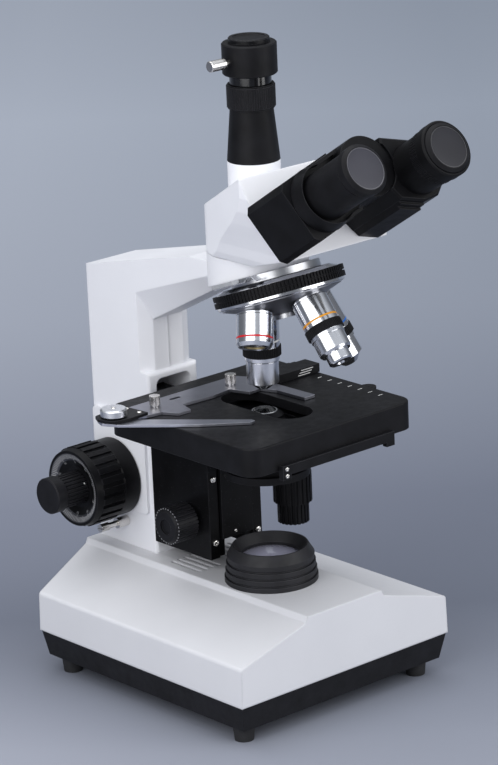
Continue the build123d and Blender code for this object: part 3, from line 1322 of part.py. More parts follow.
def face_point(up):
    """Y and Z on the sloped head face at a height above eye level."""
    tilt = radians(EYE_TILT)
    y = EYE_Y + HEAD_FACE_S * cos(tilt) + up * sin(tilt)
    z = EYE_Z - HEAD_FACE_S * sin(tilt) + up * cos(tilt)
    return y, z


def head_plan(reach):
    """Head from above: the round boss widening in straight lines to the sloped face."""
    corner_y = face_point(HEAD_ROOF_Q)[0]
    distance = sqrt(HEAD_FACE_HALF_W ** 2 + corner_y ** 2)
    bearing = acos(-corner_y / distance) + acos(BOSS_R / distance)
    tangent_x = BOSS_R * sin(bearing)
    tangent_y = -BOSS_R * cos(bearing)
    half = [(tangent_x, tangent_y), (HEAD_FACE_HALF_W, corner_y), (HEAD_FACE_HALF_W, -reach)]
    outline = half + [(-x, y) for x, y in reversed(half)]
    return Polygon(*outline, align=None) + Circle(BOSS_R)


def make_head_block():
    far = 3 * BOSS_R
    head = extrude(Pos(0, 0, HEAD_SEAM_Z) * head_plan(far), amount=far, dir=(0, 0, 1))
    side = [(BOSS_R, HEAD_SEAM_Z), *HEAD_FLARE, (HEAD_FACE_HALF_W, HEAD_SIDE_TOP_Z),
            (HEAD_FACE_HALF_W, 2 * HEAD_SEAM_Z)]
    head &= prism_y(side + [(-x, z) for x, z in reversed(side)], -far, far)
    top_y, top_z = face_point(HEAD_ROOF_Q)
    fall = tan(radians(HEAD_ROOF_TILT))
    head -= prism_x([(top_y - far, top_z + fall * far), (top_y + 2 * far, top_z - 2 * fall * far),
                     (top_y + 2 * far, top_z + 2 * far), (top_y - far, top_z + 2 * far)], -far, far)
    eye = eye_plane().location
    head -= eye * block(-far, far, -2 * far, 2 * far, -HEAD_FACE_S, far)
    edge_y, edge_z = face_point(-HEAD_FACE_LOW_Q)
    slope = (edge_z - HEAD_SEAM_Z) / (-BOSS_R - edge_y)
    head -= prism_x([(-BOSS_R, HEAD_SEAM_Z), (edge_y - far, HEAD_SEAM_Z + slope * (far - BOSS_R - edge_y)),
                     (edge_y - far, HEAD_SEAM_Z - far), (-BOSS_R, HEAD_SEAM_Z - far)], -far, far)
    head += rod_z(0, 0, HEAD_SEAM_Z, STUB_TOP_Z, STUB_R)
    head += rod_z(0, 0, HEAD_SEAM_Z - HEAD_SPIGOT_H, HEAD_SEAM_Z + 1, HEAD_SPIGOT_R)
    head += eye * rod_z(0, hinge_up(), -HEAD_FACE_S - HEAD_EDGE, -LUG_FACE_S - HEAD_EDGE, PIN_HINGE_R)
    head -= rod_z(0, 0, HEAD_SEAM_Z - far, HEAD_BORE_TOP_Z, HEAD_BORE_R)
    return head - rod_z(0, 0, HEAD_SEAM_Z, STUB_TOP_Z + 1, PHOTO_BORE_R)


def left_outline():
    """Rear section of the left housing, flat on its outer side."""
    outer = -EYE_SPREAD_R - HOUSE_R
    height = HOUSE_HALF_H
    corner = HOUSE_CORNER
    return [(-LUG_R / 2, height), (outer + corner, height), (outer, height - corner),
            (outer, corner - height), (outer + corner, -height), (HOUSE_INNER_X, -height), HOUSE_INNER_CORNER]


def make_left_housing():
    low = -HEAD_FACE_S + SLIP
    lens_x = -EYE_SPREAD_R
    seam = -HOUSE_SEAM_S
    groove = -RING_SEAM_S
    body = prism_z(left_outline(), low, groove)
    body -= rod_z(0, 0, low - 1, seam, LUG_R + CLEAR)
    groove_r = HOUSE_R - RING_GROOVE
    lip = turned([(0, groove - 1), (groove_r, groove - 1), (groove_r, groove + RING_GROOVE),
                  (HOUSE_R, groove + RING_GROOVE), (HOUSE_R - LIP_BEVEL, -LIP_S), (0, -LIP_S)])
    body += Pos(lens_x, 0, 0) * lip
    bridge = block(lens_x, 0, -LUG_R, LUG_R, groove - 1, -LIP_S)
    body += bridge & prism_z(left_outline(), low, 0)
    trough = rod_z(lens_x, 0, -TROUGH_FLOOR_S, 0, LIP_R)
    trough += block(lens_x, 0, LIP_WALL - LUG_R, LUG_R - LIP_WALL, -TROUGH_FLOOR_S, 0)
    body -= trough
    body += rod_z(0, 0, seam, -LUG_FACE_S, LUG_R)
    body -= rod_z(lens_x, 0, -EYE_TUBE_BACK_S - SLIP, 0, EYE_TUBE_R + SEAT)
    body -= rod_z(lens_x, 0, low - 1, 0, PRISM_R)
    body -= rod_z(0, 0, low - 1, -LUG_FACE_S - HEAD_EDGE + SLIP, PIN_HINGE_R + RUN)
    return swing_place(-1) * body


def eyepiece(tube_r):
    """Eyepiece along +Z with its eye lens at Z 0 and a grooved nose."""
    back = -EYE_TUBE_BACK_S
    nose = -EYE_NOSE_L
    neck_r = EYE_NOSE_R - EYE_GROOVE
    return turned([
        (EYE_BORE_R, back), (tube_r, back), (tube_r, nose), (neck_r, nose), (neck_r, nose + EYE_GROOVE_L),
        (EYE_NOSE_R, nose + EYE_GROOVE_L), (EYE_NOSE_R, -EYE_NOSE_EDGE), (EYE_LENS_R + EYE_RIM, 0),
        (EYE_LENS_R, 0), (EYE_LENS_R, -EYE_LENS_SET), (0, -EYE_LENS_SET), (0, -LENS_T),
        (EYE_BORE_R, -LENS_T)])


def make_left_eyepiece():
    return swing_place(-1) * Pos(-EYE_SPREAD_R, 0, 0) * eyepiece(EYE_TUBE_R)


def right_section(drop):
    """Right housing section with its underside lowered."""
    return [(x, y - drop if y < -2 * RIGHT_TUBE_R / 3 else y) for x, y in RIGHT_OUTLINE]


def make_right_housing():
    low = -HEAD_FACE_S + SLIP
    lens_x = EYE_SPREAD_R
    seam = -HOUSE_SEAM_S - SLIP
    first, second = RIGHT_STEP_S
    body = prism_z(RIGHT_OUTLINE, low, -RIGHT_FACE_S)
    body = chamfer(body.faces().sort_by(Axis.Z)[-1].edges(), RIGHT_EDGE)
    clear = prism_z([(-LUG_R, LUG_R), (2 * LUG_R, LUG_R), (2 * LUG_R, -2 * LUG_R)], low, 0)
    for step, share in ((first, 0.5), (second, 1.0)):
        body += prism_z(right_section(share * RIGHT_DROP), low, -step) & clear
    body -= rod_z(0, 0, seam, 0, LUG_R + CLEAR)
    body += rod_z(0, 0, low, seam, LUG_R)
    body -= rod_z(lens_x, 0, -EYE_TUBE_BACK_S - SLIP, 0, RIGHT_TUBE_R + SEAT)
    body -= rod_z(lens_x, 0, low - 1, 0, PRISM_R)
    body -= rod_z(0, 0, low - 1, 0, PIN_HINGE_R + RUN)
    return swing_place(1) * body


def make_right_eyepiece():
    return swing_place(1) * Pos(EYE_SPREAD_R, 0, 0) * eyepiece(RIGHT_TUBE_R)


def make_diopter_ring():
    back = -RIGHT_FACE_S + CLEAR
    grip = -DIOPTER_GRIP_S
    rim = -DIOPTER_RIM_S
    floor_z = -EYE_NOSE_L - CLEAR
    ring = rod_z(0, 0, back, grip + 1, DIOPTER_SLEEVE_R)
    ring += Pos(0, 0, grip) * ribbed(DIOPTER_GRIP_R, KNURL, DIOPTER_KNURLS, rim - grip)
    front = -DIOPTER_FRONT_S
    edge = DIOPTER_EDGE
    inner_r = EYE_NOSE_R + CLEAR
    ring += turned([(0, rim), (DIOPTER_R - edge, rim), (DIOPTER_R, rim + edge), (DIOPTER_R, front - edge),
                    (DIOPTER_R - edge, front), (inner_r, front), (inner_r, floor_z), (0, floor_z)])
    ring -= rod_z(0, 0, back - 1, 0, RIGHT_TUBE_R + RUN)
    return swing_place(1) * Pos(EYE_SPREAD_R, 0, 0) * ring


# Photo tube
def make_photo_cone():
    return turned([(PHOTO_BORE_R, STUB_TOP_Z), (STUB_R, STUB_TOP_Z), (PHOTO_TOP_R, PHOTO_SHOULDER_Z),
                   (PHOTO_SPIGOT_R, PHOTO_SHOULDER_Z), (PHOTO_SPIGOT_R, PHOTO_SPIGOT_Z),
                   (PHOTO_BORE_R, PHOTO_SPIGOT_Z)])


def make_photo_ring():
    low = PHOTO_SHOULDER_Z + SLIP
    ring = Pos(0, 0, low + 1) * ribbed(PHOTO_RING_R, KNURL, PHOTO_KNURLS, PHOTO_RING_TOP_Z - low - 2)
    ring += rod_z(0, 0, low, PHOTO_RING_TOP_Z, PHOTO_RING_R - 2 * KNURL)
    return ring - rod_z(0, 0, low - 1, PHOTO_RING_TOP_Z + 1, PHOTO_SPIGOT_R + RUN)


def make_photo_adapter():
    low = PHOTO_RING_TOP_Z + SLIP
    top = ADAPTER_TOP_Z
    edge = ADAPTER_EDGE
    bore_r = PHOTO_SPIGOT_R + SEAT
    adapter = turned([(bore_r, low), (ADAPTER_NECK_R, low), (ADAPTER_NECK_R, ADAPTER_LOW_Z),
                      (ADAPTER_R - edge, ADAPTER_LOW_Z), (ADAPTER_R, ADAPTER_LOW_Z + edge),
                      (ADAPTER_R, top - edge), (ADAPTER_R - edge, top), (PORT_R, top),
                      (PORT_R, PHOTO_SPIGOT_Z), (bore_r, PHOTO_SPIGOT_Z)])
    return adapter - rod_x(-2 * ADAPTER_R, 0, 0, ADAPTER_SCREW_Z, ADAPTER_SHANK_R + RUN)


def make_adapter_screw():
    tip = PORT_R + SLIP
    start = ADAPTER_SCREW_FACE_X - ADAPTER_SCREW_L
    head = rod_z(0, 0, start, ADAPTER_SCREW_FACE_X, ADAPTER_SCREW_R)
    head = chamfer(head.edges().filter_by(GeomType.CIRCLE), ADAPTER_SCREW_EDGE)
    screw = head + rod_z(0, 0, tip, start + 1, ADAPTER_SHANK_R)
    return along_x(screw, 0, 0, ADAPTER_SCREW_Z, -1)


def make_photo_cap():
    low = ADAPTER_TOP_Z
    top = low + CAP_H
    plug_r = PORT_R - RUN
    dish_r = CAP_R - CAP_RIM_W
    return turned([(0, low - CAP_PLUG), (plug_r, low - CAP_PLUG), (plug_r, low + SLIP), (CAP_R, low + SLIP),
                   (CAP_R, top - CAP_EDGE), (CAP_R - CAP_EDGE, top), (dish_r, top),
                   (dish_r - CAP_EDGE, top - CAP_DISH), (0, top - CAP_DISH)])


PIECES = {
    "base_cover": make_base_cover,
    "base_pan": make_base_pan,
    "rubber_feet": make_rubber_feet,
    "case_screws": make_case_screws,
    "power_inlet": make_power_inlet,
    "switch_rocker": make_switch_rocker,
    "brightness_knob": make_brightness_knob,
    "circuit_board": make_circuit_board,
    "lamp_holder": make_lamp_holder,
    "lamp_bulb": make_lamp_bulb,
    "field_lens_mount": make_field_lens_mount,
    "field_lens": make_field_lens,
    "arm": make_arm,
    "head_lock_screw": make_head_lock_screw,
    "coarse_shaft": make_coarse_shaft,
    "coarse_knob_left": lambda: make_coarse_knob(-1),
    "coarse_knob_right": lambda: make_coarse_knob(1),
    "tension_ring": make_tension_ring,
    "fine_shaft": make_fine_shaft,
    "fine_knob_left": lambda: make_fine_knob(-1),
    "fine_knob_right": lambda: make_fine_knob(1),
    "focus_slide": make_focus_slide,
    "limit_screw": make_limit_screw,
    "stage_carrier": make_stage_carrier,
    "carrier_screws": make_carrier_screws,
    "condenser_knob": make_condenser_knob,
    "condenser_slide": make_condenser_slide,
    "condenser_body": make_condenser_body,
    "condenser_lens": make_condenser_lens,
    "iris_lever": make_iris_lever,
    "stage_lower_plate": make_stage_lower_plate,
    "stage_top": make_stage_top,
    "front_rail": make_front_rail,
    "y_knob": make_y_knob,
    "x_knob": make_x_knob,
    "x_carriage": make_x_carriage,
    "slide_holder": make_slide_holder,
    "holder_screws": make_holder_screws,
    "finger_mount": make_finger_mount,
    "slide_finger": make_slide_finger,
    "finger_knob": make_finger_knob,
    "nosepiece_plate": make_nosepiece_plate,
    "click_spring": make_click_spring,
    "turret": make_turret,
    "turret_ring": make_turret_ring,
    "objective_4x": make_objective_4x,
    "objective_10x": make_objective_10x,
    "objective_40x": make_objective_40x,
    "objective_100x": make_objective_100x,
    "head_block": make_head_block,
    "left_housing": make_left_housing,
    "left_eyepiece": make_left_eyepiece,
    "right_housing": make_right_housing,
    "right_eyepiece": make_right_eyepiece,
    "diopter_ring": make_diopter_ring,
    "photo_cone": make_photo_cone,
    "photo_ring": make_photo_ring,
    "photo_adapter": make_photo_adapter,
    "adapter_screw": make_adapter_screw,
    "photo_cap": make_photo_cap,
}

os.makedirs("parts", exist_ok=True)
for name, make in PIECES.items():
    export_step(make(), f"parts/{name}.step")
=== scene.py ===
from math import cos, hypot, pi, radians, sin, sqrt

import bmesh
import bpy
from mathutils import Matrix, Vector


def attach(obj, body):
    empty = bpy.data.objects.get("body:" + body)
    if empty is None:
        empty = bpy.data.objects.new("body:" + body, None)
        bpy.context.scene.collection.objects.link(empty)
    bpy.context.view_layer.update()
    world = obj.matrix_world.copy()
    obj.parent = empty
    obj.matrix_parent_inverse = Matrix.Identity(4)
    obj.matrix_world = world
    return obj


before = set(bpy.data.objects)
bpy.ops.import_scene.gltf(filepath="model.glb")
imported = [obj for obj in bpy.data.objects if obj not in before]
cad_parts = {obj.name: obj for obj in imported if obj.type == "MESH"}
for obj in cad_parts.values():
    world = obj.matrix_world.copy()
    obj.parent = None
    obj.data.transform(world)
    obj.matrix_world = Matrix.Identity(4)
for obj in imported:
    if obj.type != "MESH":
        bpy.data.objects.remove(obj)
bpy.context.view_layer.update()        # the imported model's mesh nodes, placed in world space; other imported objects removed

# Upright microscope: finishes for every piece, small markings and optics, studio floor, light and camera.
# Sizes are in mm, in the model's own frame: origin on the optical axis at the table, -Y to the front.

MM = 0.001
scene = bpy.context.scene
scene.view_settings.view_transform = "Standard"

# Camera, at the photograph's viewing angle
CAMERA_AT = (-1494.8, -1724.6, 925.2)
CAMERA_AIM = (5.7, 21.1, 207.8)
CAMERA_ROLL = radians(-2.52)
CAMERA_LENS = 170.9
SENSOR = 36.0

# Focus drive
FOCUS_Y = 130.0
FOCUS_Z = 126.0
DIAL_FACE_X = -62.5
DIAL_HUB_X = -58.0
DIAL_R = 24.5
DIAL_HUB_R = 14.5
DIAL_TICKS = 100
DIAL_LIFT = 0.05
TICK_OUTER_R = 24.0
TICK_LENGTHS = {"ten": 4.6, "five": 4.0, "one": 3.4}
TICK_W = 0.5
DIAL_MARK_PROUD = 0.09
NUMBER_R = 18.2
NUMBER_COUNT = 10
NUMBER_SIZE = 2.3
FINE_RIB_R = 11.6
FINE_DOT_X = -60.5
FINE_DOT_R = 0.55
FINE_DOT_DEPTH = 0.9
FINE_DOT_ANGLE = radians(-62)

# Carrier, condenser and stage
CARRIER_SCREW_FACE_Y = 33.2
COND_PLATE_FRONT_Y = 32.4
CARRIER_SCREW_XZ = ((-19.0, 98.0), (-19.0, 143.0), (19.0, 98.0), (19.0, 143.0))
PLATE_SCREW_XZ = (-2.0, 103.0)
COND_KNOB_Y = 53.3
COND_KNOB_Z = 112.0
COND_KNOB_R = 12.8
COND_KNOB_FACE_X = -45.9
COND_KNOB_FLUTES = 30
COND_DOT_SET = 1.5
COND_DOT_INSET = 0.55
COND_DOT_SIZE = (0.7, 1.1)
COND_DOT_PROUD = 0.04
COND_DOT_SHIFT = 0.28
STAGE_TOP_Z = 198.7
STAGE_TICK_X = 64.0
STAGE_TICK_BACK_Y = 15.7
STAGE_TICK_PITCH = 9.9
STAGE_TICK_COUNT = 7
STAGE_TICK_SIZE = (3.6, 0.7)
STAGE_MARK_PROUD = 0.05
RAIL_FRONT_Y = -72.3
RAIL_SCREW_X = -45.5
RAIL_SCREW_Z = (181.0, 176.4)
CARRIAGE_FRONT_Y = 24.6
CARRIAGE_LOW_Z = 199.0
VERNIER_X = 58.0
VERNIER_RISE = 1.4
VERNIER_STEP = (1.4, 1.6)
VERNIER_COUNT = 3
VERNIER_SIZE = (11.0, 0.55)
MOUNT_TOP_Z = 203.0
MOUNT_SCREW_XY = ((-75.5, 51.0), (-74.9, 38.7))
PIVOT_TOP_Z = 208.9
PIVOT_SPOT = (-92.0, 44.0)

# Nosepiece
TURRET_TILT = radians(19.5)
TURRET_AT = (0.0, -19.7, 282.9)
TILT_CENTRE_Z = 338.53
SEAT_D = 75.8
BARREL_R = 12.0
RIM_R = 42.4
RIM_TOP = -3.9
RIM_LOW = -6.5
RIM_PROUD = 0.06
RIM_CHAMFER = (1.4, 0.85)
RIM_WALL = 2.3
BEVEL_LIFT = 0.05
BEVEL_IN = (36.0, 6.1)
BEVEL_OUT = (41.0, 3.9)

# Eyepieces
EYE_TILT = radians(32.0)
EYE_AT = (0.0, -144.7, 388.6)
EYE_X = 35.43
EYE_LENS_R = 14.0
EYE_LENS_SET = 0.6
EYE_RIM_W = 0.7
EYE_RIM_GAP = 0.1
EYE_LENS_SUNK = 0.1

# Condenser top lens
COND_TIP_Z = 194.5
COND_RIM_R = (7.7, 8.7)
COND_RIM_SUNK = 0.2
COND_RIM_PROUD = 0.25
COND_RIM_CHAMFER = 0.3

# Photo tube neck
NECK_R = 13.6
NECK_Z = (415.6, 421.5)
NECK_PROUD = 0.05
NECK_DEPTH = 0.3

# Studio
FLOOR_R = 14000.0
VIEW_DIR = Vector((CAMERA_AIM[0] - CAMERA_AT[0], CAMERA_AIM[1] - CAMERA_AT[1], 0.0)).normalized()
SIDE_DIR = Vector((VIEW_DIR.y, -VIEW_DIR.x, 0.0))
# Floor colour with painted light and shade: a dark band of painted shade just behind the object, floor
# painted lighter far behind it, and one side painted darker.
FLOOR_SHADE_DEPTH_M = (-0.3, 1.7)
FLOOR_SHADE_SIDE_M = (-0.25, 0.25)
FLOOR_PAINTED_SHADE_TONES = (
    (0.00, (0.32, 0.33, 0.38)), (0.10, (0.30, 0.315, 0.37)), (0.22, (0.165, 0.18, 0.225)),
    (0.34, (0.20, 0.216, 0.27)), (0.60, (0.375, 0.40, 0.465)), (1.00, (0.56, 0.60, 0.68)))
FLOOR_SIDE_PAINTED_SHADE = ((0.0, (1.0, 1.0, 1.0)), (1.0, (0.76, 0.78, 0.80)))
WALL_TONES = ((0.0, (0.15, 0.16, 0.18)), (0.3, (0.17, 0.18, 0.20)), (0.7, (0.62, 0.65, 0.70)))
LIGHT_AIM = (0.0, 20.0, 220.0)
SOFTBOXES = {
    "left_softbox": {"at": (-1150.0, -350.0, 700.0), "width": 1300.0, "height": 1300.0, "level": 2.38},
    "right_softbox": {"at": (500.0, -1250.0, 600.0), "width": 1100.0, "height": 1200.0, "level": 2.85},
    "top_softbox": {"at": (0.0, 100.0, 1600.0), "width": 1500.0, "height": 1500.0, "level": 1.85},
}


# Node helpers
def new_look(name):
    """A material with its node tree and its shader."""
    look = bpy.data.materials.new(name)
    look.use_nodes = True
    tree = look.node_tree
    return look, tree, tree.nodes["Principled BSDF"]


def object_point(tree):
    return tree.nodes.new("ShaderNodeTexCoord").outputs["Object"]


def stretched_point(tree, scale):
    mapping = tree.nodes.new("ShaderNodeMapping")
    mapping.inputs["Scale"].default_value = scale
    tree.links.new(object_point(tree), mapping.inputs["Vector"])
    return mapping.outputs["Vector"]


def noise(tree, feature_mm, detail=3.0, point=None):
    """Noise whose features are about the given size."""
    node = tree.nodes.new("ShaderNodeTexNoise")
    node.inputs["Scale"].default_value = 1 / (feature_mm * MM)
    node.inputs["Detail"].default_value = detail
    tree.links.new(point or object_point(tree), node.inputs["Vector"])
    return node.outputs["Fac"]


def spread(tree, value, low, high, start=0.3, end=0.7):
    """Map a value onto a range."""
    node = tree.nodes.new("ShaderNodeMapRange")
    node.inputs["From Min"].default_value = start
    node.inputs["From Max"].default_value = end
    node.inputs["To Min"].default_value = low
    node.inputs["To Max"].default_value = high
    tree.links.new(value, node.inputs["Value"])
    return node.outputs["Result"]


def ramp(tree, value, stops):
    """Colour ramp from (position, colour) stops."""
    node = tree.nodes.new("ShaderNodeValToRGB")
    bands = node.color_ramp.elements
    while len(bands) < len(stops):
        bands.new(0.5)
    for band, (position, colour) in zip(bands, stops):
        band.position = position
        band.color = (*colour, 1.0)
    tree.links.new(value, node.inputs["Fac"])
    return node.outputs["Color"]


def mix_colour(tree, amount, first, second):
    """Blend a colour output toward a fixed colour."""
    node = tree.nodes.new("ShaderNodeMix")
    node.data_type = "RGBA"
    tree.links.new(amount, node.inputs["Factor"])
    tree.links.new(first, node.inputs["A"])
    node.inputs["B"].default_value = (*second, 1.0)
    return node.outputs["Result"]


def math_node(tree, operation, first, second):
    node = tree.nodes.new("ShaderNodeMath")
    node.operation = operation
    for socket, value in zip(node.inputs, (first, second)):
        if isinstance(value, (int, float)):
            socket.default_value = value
        else:
            tree.links.new(value, socket)
    return node.outputs["Value"]


def soft_edge(tree, radius_mm):
    """Normal rounded over the sharp edges of a piece."""
    node = tree.nodes.new("ShaderNodeBevel")
    node.samples = 6
    node.inputs["Radius"].default_value = radius_mm * MM
    return node.outputs["Normal"]


def edge_wear(tree, radius_mm):
    """Zero on flat faces, rising to one along sharp edges, where highlights are painted."""
    rounded = soft_edge(tree, radius_mm)
    facing = tree.nodes.new("ShaderNodeVectorMath")
    facing.operation = "DOT_PRODUCT"
    tree.links.new(rounded, facing.inputs[0])
    tree.links.new(tree.nodes.new("ShaderNodeNewGeometry").outputs["Normal"], facing.inputs[1])
    return spread(tree, facing.outputs["Value"], 1.0, 0.0, 0.80, 0.99)


def bump(tree, shader, height, depth_mm, strength=1.0, edge_mm=0.0):
    """Relief from a height value over the rounded edge normal."""
    node = tree.nodes.new("ShaderNodeBump")
    node.inputs["Strength"].default_value = strength
    node.inputs["Distance"].default_value = depth_mm * MM
    tree.links.new(height, node.inputs["Height"])
    if edge_mm:
        tree.links.new(soft_edge(tree, edge_mm), node.inputs["Normal"])
    tree.links.new(node.outputs["Normal"], shader.inputs["Normal"])


def distance_along(tree, direction):
    """Place of a point along a direction."""
    node = tree.nodes.new("ShaderNodeVectorMath")
    node.operation = "DOT_PRODUCT"
    node.inputs[1].default_value = direction
    tree.links.new(object_point(tree), node.inputs[0])
    return node.outputs["Value"]


def axis_distance(tree, at_mm, axis):
    """Distance of a point from an axis line."""
    offset = tree.nodes.new("ShaderNodeVectorMath")
    offset.operation = "SUBTRACT"
    offset.inputs[1].default_value = Vector(at_mm) * MM
    tree.links.new(object_point(tree), offset.inputs[0])
    across = tree.nodes.new("ShaderNodeVectorMath")
    across.operation = "CROSS_PRODUCT"
    across.inputs[1].default_value = axis
    tree.links.new(offset.outputs["Vector"], across.inputs[0])
    length = tree.nodes.new("ShaderNodeVectorMath")
    length.operation = "LENGTH"
    tree.links.new(across.outputs["Vector"], length.inputs[0])
    return length.outputs["Value"]


def lathe_lines(tree, at_mm, axis, pitch_mm):
    """Fine turning rings about an axis."""
    distance = axis_distance(tree, at_mm, axis)
    phase = math_node(tree, "MULTIPLY", distance, 2 * pi / (pitch_mm * MM))
    return math_node(tree, "SINE", phase, 0.0)


# Finishes
# Pale grey for the real specks and for the painted highlight along edges.
SPECK_AND_EDGE_HIGHLIGHT_GREY = (0.10, 0.10, 0.115)


def white_paint(name, level):
    """Satin white with faint blotches and a thin clear coat."""
    look, tree, shader = new_look(name)
    dull = (0.97 * level, 0.975 * level, 1.02 * level)
    clean = (1.02 * level, 1.025 * level, 1.07 * level)
    tone = ramp(tree, noise(tree, 60, 4), ((0.3, dull), (0.7, clean)))
    tree.links.new(tone, shader.inputs["Base Color"])
    tree.links.new(spread(tree, noise(tree, 9, 4), 0.36, 0.46), shader.inputs["Roughness"])
    shader.inputs["Coat Weight"].default_value = 0.12
    shader.inputs["Coat Roughness"].default_value = 0.18
    bump(tree, shader, noise(tree, 1.1, 2), 0.015, 0.4, 1.6)
    return look


def black_finish(name, tone, rough, grain, edge_mm=0.5, edge_highlight=0.0, specks=0.0, gloss=0.12):
    """Moulded or painted black with a fine grain, optional pale specks and a painted highlight along edges.
    """
    look, tree, shader = new_look(name)
    grain_mm, grain_depth = grain
    dark = (0.75 * tone, 0.75 * tone, 0.85 * tone)
    pale = (1.25 * tone, 1.25 * tone, 1.5 * tone)
    shader.inputs["Specular IOR Level"].default_value = gloss
    colour = ramp(tree, noise(tree, 14, 5), ((0.3, dark), (0.72, pale)))
    # Painted highlight: sharp edges lightened toward pale grey.
    if edge_highlight:
        highlight_share = math_node(tree, "MULTIPLY", edge_wear(tree, 0.5), edge_highlight)
        colour = mix_colour(tree, highlight_share, colour, SPECK_AND_EDGE_HIGHLIGHT_GREY)
    if specks:
        cells = tree.nodes.new("ShaderNodeTexVoronoi")
        cells.inputs["Scale"].default_value = 1 / (2.6 * MM)
        tree.links.new(object_point(tree), cells.inputs["Vector"])
        dots = spread(tree, cells.outputs["Distance"], specks, 0.0, 0.05, 0.13)
        colour = mix_colour(tree, dots, colour, SPECK_AND_EDGE_HIGHLIGHT_GREY)
    tree.links.new(colour, shader.inputs["Base Color"])
    tree.links.new(spread(tree, noise(tree, 5, 4), rough - 0.05, rough + 0.07), shader.inputs["Roughness"])
    bump(tree, shader, noise(tree, grain_mm, 2), grain_depth, 0.6, edge_mm)
    return look


def metal(name, tone, rough, smudge=0.05, edge_mm=0.3, lines=None, brush=None):
    """Bare metal with uneven polish, optional turning rings or a brushed direction."""
    look, tree, shader = new_look(name)
    shader.inputs["Metallic"].default_value = 1.0
    low = tuple(0.93 * part for part in tone)
    tree.links.new(ramp(tree, noise(tree, 11, 5), ((0.3, low), (0.7, tone))), shader.inputs["Base Color"])
    tree.links.new(spread(tree, noise(tree, 4, 5), rough, rough + smudge), shader.inputs["Roughness"])
    if lines:
        at_mm, axis, pitch = lines
        bump(tree, shader, lathe_lines(tree, at_mm, axis, pitch), 0.004, 0.5, edge_mm)
    elif brush:
        strokes = noise(tree, 1.0, 4, stretched_point(tree, brush))
        bump(tree, shader, strokes, 0.012, 0.5, edge_mm)
    else:
        bump(tree, shader, noise(tree, 0.6, 2), 0.002, 0.4, edge_mm)
    return look


def rubber():
    look, tree, shader = new_look("foot_rubber")
    tone = ramp(tree, noise(tree, 6, 4), ((0.3, (0.008, 0.008, 0.009)), (0.7, (0.018, 0.018, 0.02))))
    tree.links.new(tone, shader.inputs["Base Color"])
    tree.links.new(spread(tree, noise(tree, 3, 3), 0.6, 0.78), shader.inputs["Roughness"])
    bump(tree, shader, noise(tree, 0.5, 3), 0.04, 0.6, 0.6)
    return look


def clear_glass(name, tint, rough):
    look, tree, shader = new_look(name)
    tone = ramp(tree, noise(tree, 18, 2), ((0.3, tint), (0.7, (0.99, 0.99, 1.0))))
    tree.links.new(tone, shader.inputs["Base Color"])
    shader.inputs["Transmission Weight"].default_value = 1.0
    shader.inputs["IOR"].default_value = 1.52
    tree.links.new(spread(tree, noise(tree, 7, 4), rough, rough + 0.03), shader.inputs["Roughness"])
    return look


def coated_glass(name, tone, rough, coat, coat_rough):
    """Coated lens over a dark tube: smooth and opaque with a soft sheen."""
    look, tree, shader = new_look(name)
    pale = tuple(1.25 * part for part in tone)
    tree.links.new(ramp(tree, noise(tree, 25, 2), ((0.3, tone), (0.7, pale))), shader.inputs["Base Color"])
    tree.links.new(spread(tree, noise(tree, 12, 2), rough, rough + 0.04), shader.inputs["Roughness"])
    shader.inputs["Specular IOR Level"].default_value = 0.3
    shader.inputs["Coat Weight"].default_value = coat
    shader.inputs["Coat Roughness"].default_value = coat_rough
    return look


def paint(name, tone, rough=0.4):
    """Small printed or enamelled marking with slightly uneven ink."""
    look, tree, shader = new_look(name)
    low = tuple(0.86 * part for part in tone)
    tree.links.new(ramp(tree, noise(tree, 2.5, 4), ((0.3, low), (0.65, tone))), shader.inputs["Base Color"])
    tree.links.new(spread(tree, noise(tree, 1.5, 3), rough - 0.06, rough + 0.08), shader.inputs["Roughness"])
    return look


def board_green():
    look, tree, shader = new_look("board_green")
    tone = ramp(tree, noise(tree, 7, 5), ((0.35, (0.010, 0.075, 0.030)), (0.62, (0.022, 0.130, 0.052))))
    tree.links.new(tone, shader.inputs["Base Color"])
    tree.links.new(spread(tree, noise(tree, 2, 3), 0.3, 0.45), shader.inputs["Roughness"])
    bump(tree, shader, noise(tree, 1.4, 3), 0.05, 0.5, 0.3)
    return look


def ceramic():
    look, tree, shader = new_look("lamp_ceramic")
    tone = ramp(tree, noise(tree, 5, 4), ((0.3, (0.62, 0.59, 0.52)), (0.7, (0.74, 0.72, 0.66))))
    tree.links.new(tone, shader.inputs["Base Color"])
    tree.links.new(spread(tree, noise(tree, 3, 3), 0.35, 0.5), shader.inputs["Roughness"])
    bump(tree, shader, noise(tree, 0.9, 3), 0.03, 0.5, 0.5)
    return look


TURRET_AXIS = Vector((0.0, sin(TURRET_TILT), cos(TURRET_TILT)))
FINGER_PIVOT = (*PIVOT_SPOT, 0.0)

# One white paint at three levels: the base darker as painted shade, the arm and head lighter as painted
# light.
BASE_WHITE_SHADED = white_paint("base_white_shaded", 0.67)
ARM_WHITE_LIT = white_paint("arm_white_lit", 0.83)
HEAD_WHITE_LIT = white_paint("head_white_lit", 0.87)
PAN_BLACK = black_finish("pan_black", 0.012, 0.50, (0.5, 0.05), gloss=0.16)
STAGE_BLACK = black_finish("stage_black", 0.008, 0.44, (0.35, 0.02), 0.6, 0.5)
CASTING_BLACK = black_finish("casting_black", 0.004, 0.42, (0.6, 0.05), 0.6, 0.3, 0.4)
KNOB_BLACK = black_finish("knob_black", 0.005, 0.36, (0.4, 0.02), 0.35, 0.2)
DIAL_KNOB_BLACK = black_finish("dial_knob_black", 0.011, 0.42, (0.4, 0.02), 0.35, 0.3)
SHELL_BLACK = black_finish("shell_black", 0.006, 0.38, (0.3, 0.025), 0.7, 0.3)
TUBE_BLACK = black_finish("tube_black", 0.008, 0.46, (0.25, 0.02), 0.4, 0.15)
